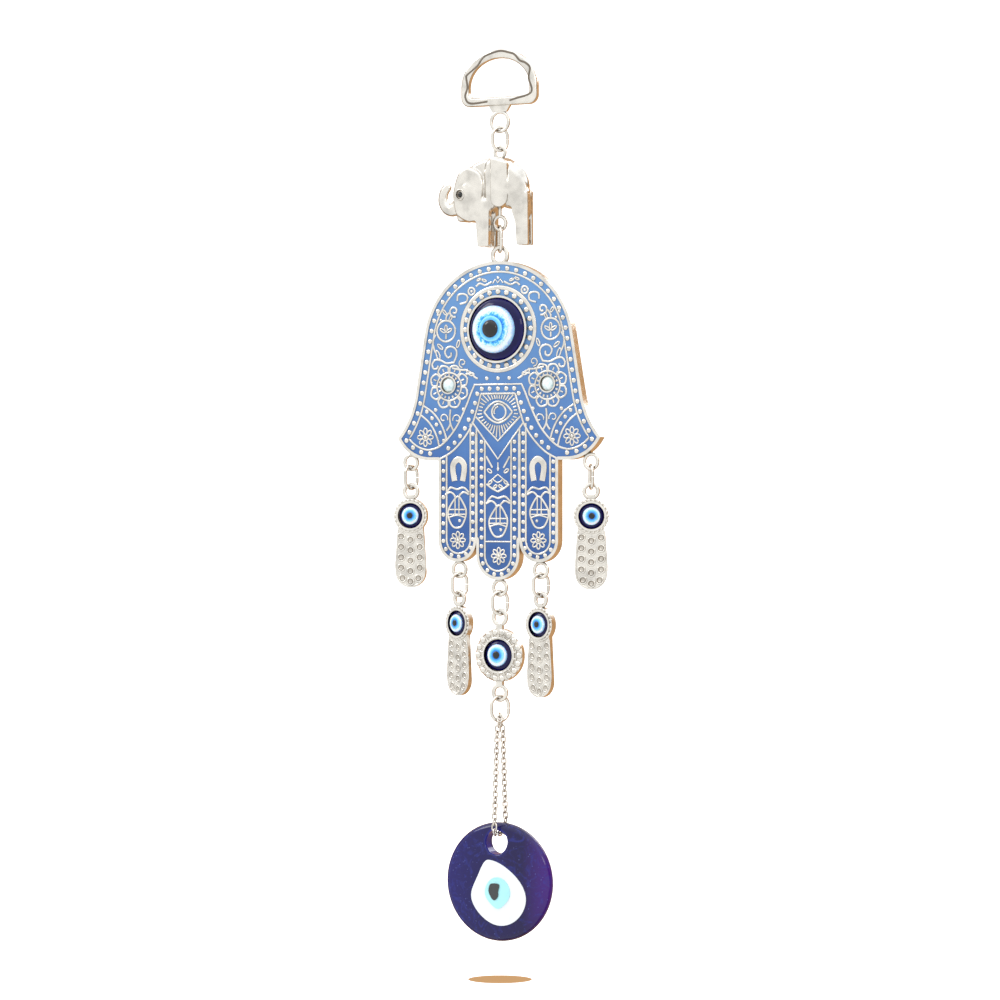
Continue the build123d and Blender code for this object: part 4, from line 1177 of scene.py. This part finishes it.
def cast_solid(mesh, voxel, rounds):
    """Fuse overlapping closed shapes into one skin and ease its edges."""
    data = bpy.data.meshes.new("rough")
    bmesh.ops.recalc_face_normals(mesh, faces=mesh.faces)
    mesh.to_mesh(data)
    mesh.free()
    holder = bpy.data.objects.new("rough", data)
    bpy.context.scene.collection.objects.link(holder)
    fuse = holder.modifiers.new("fuse", "REMESH")
    fuse.mode = "VOXEL"
    fuse.voxel_size = voxel
    ease = holder.modifiers.new("ease", "SMOOTH")
    ease.factor = 0.5
    ease.iterations = rounds
    depsgraph = bpy.context.evaluated_depsgraph_get()
    result = bpy.data.meshes.new_from_object(holder.evaluated_get(depsgraph))
    bpy.data.objects.remove(holder)
    return result


def add_pillow(mesh, outline, depth, roundness):
    """A thick shape with swollen sides: nested slabs, the widest in the middle."""
    middle = (sum(x for x, _ in outline) / len(outline), sum(y for _, y in outline) / len(outline))
    for step in range(5):
        angle = math.radians(18 * step)
        inset = roundness * (1 - math.cos(angle))
        level = depth - roundness * (1 - math.sin(angle))
        layer = []
        for x, y in outline:
            reach = math.dist((x, y), middle)
            share = max(0.0, 1 - inset / reach)
            layer.append((middle[0] + (x - middle[0]) * share, middle[1] + (y - middle[1]) * share))
        add_slab(mesh, layer, -level, level)


def elephant_body(mesh):
    """Back, belly and legs, with the strap over the back; the top loop's centre is the origin."""
    back = smooth([(-4.2, -5.6), (-3.4, -2.6), (-0.5, -1.7), (3.2, -3.0), (7.0, -6.0), (9.7, -9.6),
                   (10.6, -14.0), (10.7, -19.6)])
    torso = back + smooth([(9.8, -21.4), (7.6, -19.4), (4.6, -17.4), (1.0, -16.9), (-1.6, -18.0),
                           (-3.4, -18.4), (-4.4, -12.0)])
    add_pillow(mesh, torso, 4.4, 1.9)
    add_ball(mesh, (4.2, -10.6, 0), (6.2, 7.2, 4.9))
    neck = smooth([(-11.0, -8.0), (-9.6, -4.4), (-6.4, -2.6), (-2.0, -2.0), (-1.0, -8.0), (-2.0, -17.8),
                   (-8.6, -19.0)], closed=True)
    add_pillow(mesh, neck, 3.4, 1.6)
    for side in (-1, 1):
        hind = [(10.8, -12.0), (10.9, -29.2), (7.1, -29.2), (6.7, -22.0), (5.4, -18.0)]
        fore = [(-2.2, -17.6), (-2.4, -29.4), (-6.2, -29.4), (-6.9, -22.0), (-7.2, -16.0)]
        for leg in (hind, fore):
            add_slab(mesh, leg, side * 2.9 - 1.35, side * 2.9 + 1.35)
            middle = sum(x for x, _ in leg[1:3]) / 2
            foot = leg[1][1]
            add_limb(mesh, [(middle, -16.0, side * 2.7, 2.0), (middle, foot + 1.9, side * 2.9, 1.85)], 14)
        strap = [(-1.3, -1.9), (4.5, -3.4), (4.6, -14.4)] + arc(1.7, -14.4, 2.9, 0, -180, 12)
        strap.append((-1.2, -8.0))
        add_slab(mesh, strap, side * 4.7 - 0.8, side * 4.7 + 0.7)
    add_slab(mesh, [(-1.3, -1.5), (1.6, -1.6), (4.4, -3.2), (4.4, -5.0), (-1.3, -5.0)], -4.7, 4.7)


def elephant_head(mesh):
    """Head and ears in one broad form, chin and raised trunk."""
    head = smooth([(-12.1, -5.2), (-13.8, -7.8), (-15.0, -12.4), (-14.6, -16.6), (-13.4, -19.6),
                   (-9.6, -21.6), (-6.4, -20.6), (-4.8, -15.0), (-4.1, -9.8), (-5.4, -6.4), (-8.0, -4.8),
                   (-10.2, -4.4)],
                  closed=True)
    add_pillow(mesh, head, 5.1, 1.3)
    add_ball(mesh, (-9.7, -12.8, 0), (5.2, 8.2, 5.7))
    add_limb(mesh, [(-11.0, -19.4, 0, 2.2), (-14.0, -20.0, 0, 1.3)], 6)
    add_limb(mesh, [(-13.0, -14.4, 0, 2.9), (-15.2, -16.6, 0, 2.4), (-17.4, -17.4, 0, 2.05),
                    (-19.3, -16.6, 0, 1.8), (-20.5, -14.4, 0, 1.6), (-20.2, -12.0, 0, 1.5),
                    (-19.0, -10.2, 0, 1.45)], 10)


class HANGING_OT_elephant(bpy.types.Operator):
    """The elephant's casting with its ears, saddle strap, trunk and black eyes"""
    bl_idname = "hanging.elephant"
    bl_label = "Elephant"

    def execute(self, context):
        loop_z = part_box("elephant_casting")[1].z - 2.3 * MM
        shape = bmesh.new()
        elephant_body(shape)
        elephant_head(shape)
        skin = cast_solid(shape, sizes().cast_voxel, 9)
        for vertex in skin.vertices:
            hind = min(1.0, max(0.0, (vertex.co.x / MM - 2.0) / 8.0))
            vertex.co.z *= 0.81 - 0.34 * hind * hind * (3 - 2 * hind)
        place = Matrix.Translation((0.0, 0.0, loop_z)) @ UPRIGHT
        silver = finish_of("cast_silver")
        belly = -(19.9 + 2.1 + 0.55 - 0.45)
        top_ring = ([(x, y) for x, y in oval(0, 0, 1.8, 1.8, 48)], True)
        belly_ring = ([(x, y) for x, y in oval(0, belly, 2.1, 2.1, 48)], True)
        stalk = ([(0, -17.0), (0, belly + 2.1)], False)
        rims = []
        for side in (-1, 1):
            rims.append(([(x, y, side * 4.4) for x, y in oval(-11.9, -13.0, 1.5, 1.6, 28)], True))
        pieces = [(skin, place),
                  (bars([top_ring], 0.001, 0.0005, silver, 20), place),
                  (bars([belly_ring, stalk], 0.0011, 0.00055, silver, 20), place),
                  (bars(rims, 0.0004, 0.00035, silver), place)]
        make_piece("elephant_cast", joined(pieces), "cast_silver", "elephant", ("elephant_casting",))
        eyes = beads([(-11.9, -13.0, side * 3.95, 1.0) for side in (-1, 1)], 0.95 * MM, 1.0, silver)
        make_piece("elephant_eye_domes", joined([(eyes, place)]), "black_gloss", "elephant",
                   ("elephant_eyes",))
        return {"FINISHED"}


class HANGING_PT_panel(bpy.types.Panel):
    """Lists the pieces of the hanging and their sizes and colours"""
    bl_label = "Evil Eye Hanging"
    bl_idname = "HANGING_PT_panel"
    bl_space_type = "VIEW_3D"
    bl_region_type = "UI"
    bl_category = "Hanging"

    def draw(self, context):
        for operator in OPERATORS:
            self.layout.operator(operator.bl_idname)
        for group in (context.scene.hanging_sizes, context.scene.hanging_colours):
            for key in group.__annotations__:
                self.layout.prop(group, key)


OPERATORS = (HANGING_OT_stage, HANGING_OT_metalwork, HANGING_OT_hanger, HANGING_OT_elephant,
             HANGING_OT_hand, HANGING_OT_eyes, HANGING_OT_charms, HANGING_OT_medallion)
CLASSES = (HangingSizes, HangingColours) + OPERATORS + (HANGING_PT_panel,)


def register():
    for entry in CLASSES:
        bpy.utils.register_class(entry)
    bpy.types.Scene.hanging_sizes = bpy.props.PointerProperty(type=HangingSizes)
    bpy.types.Scene.hanging_colours = bpy.props.PointerProperty(type=HangingColours)


def unregister():
    del bpy.types.Scene.hanging_colours
    del bpy.types.Scene.hanging_sizes
    for entry in reversed(CLASSES):
        bpy.utils.unregister_class(entry)


def main():
    register()
    for operator in OPERATORS:
        group, name = operator.bl_idname.split(".")
        getattr(getattr(bpy.ops, group), name)()


if __name__ == "__main__":
    main()
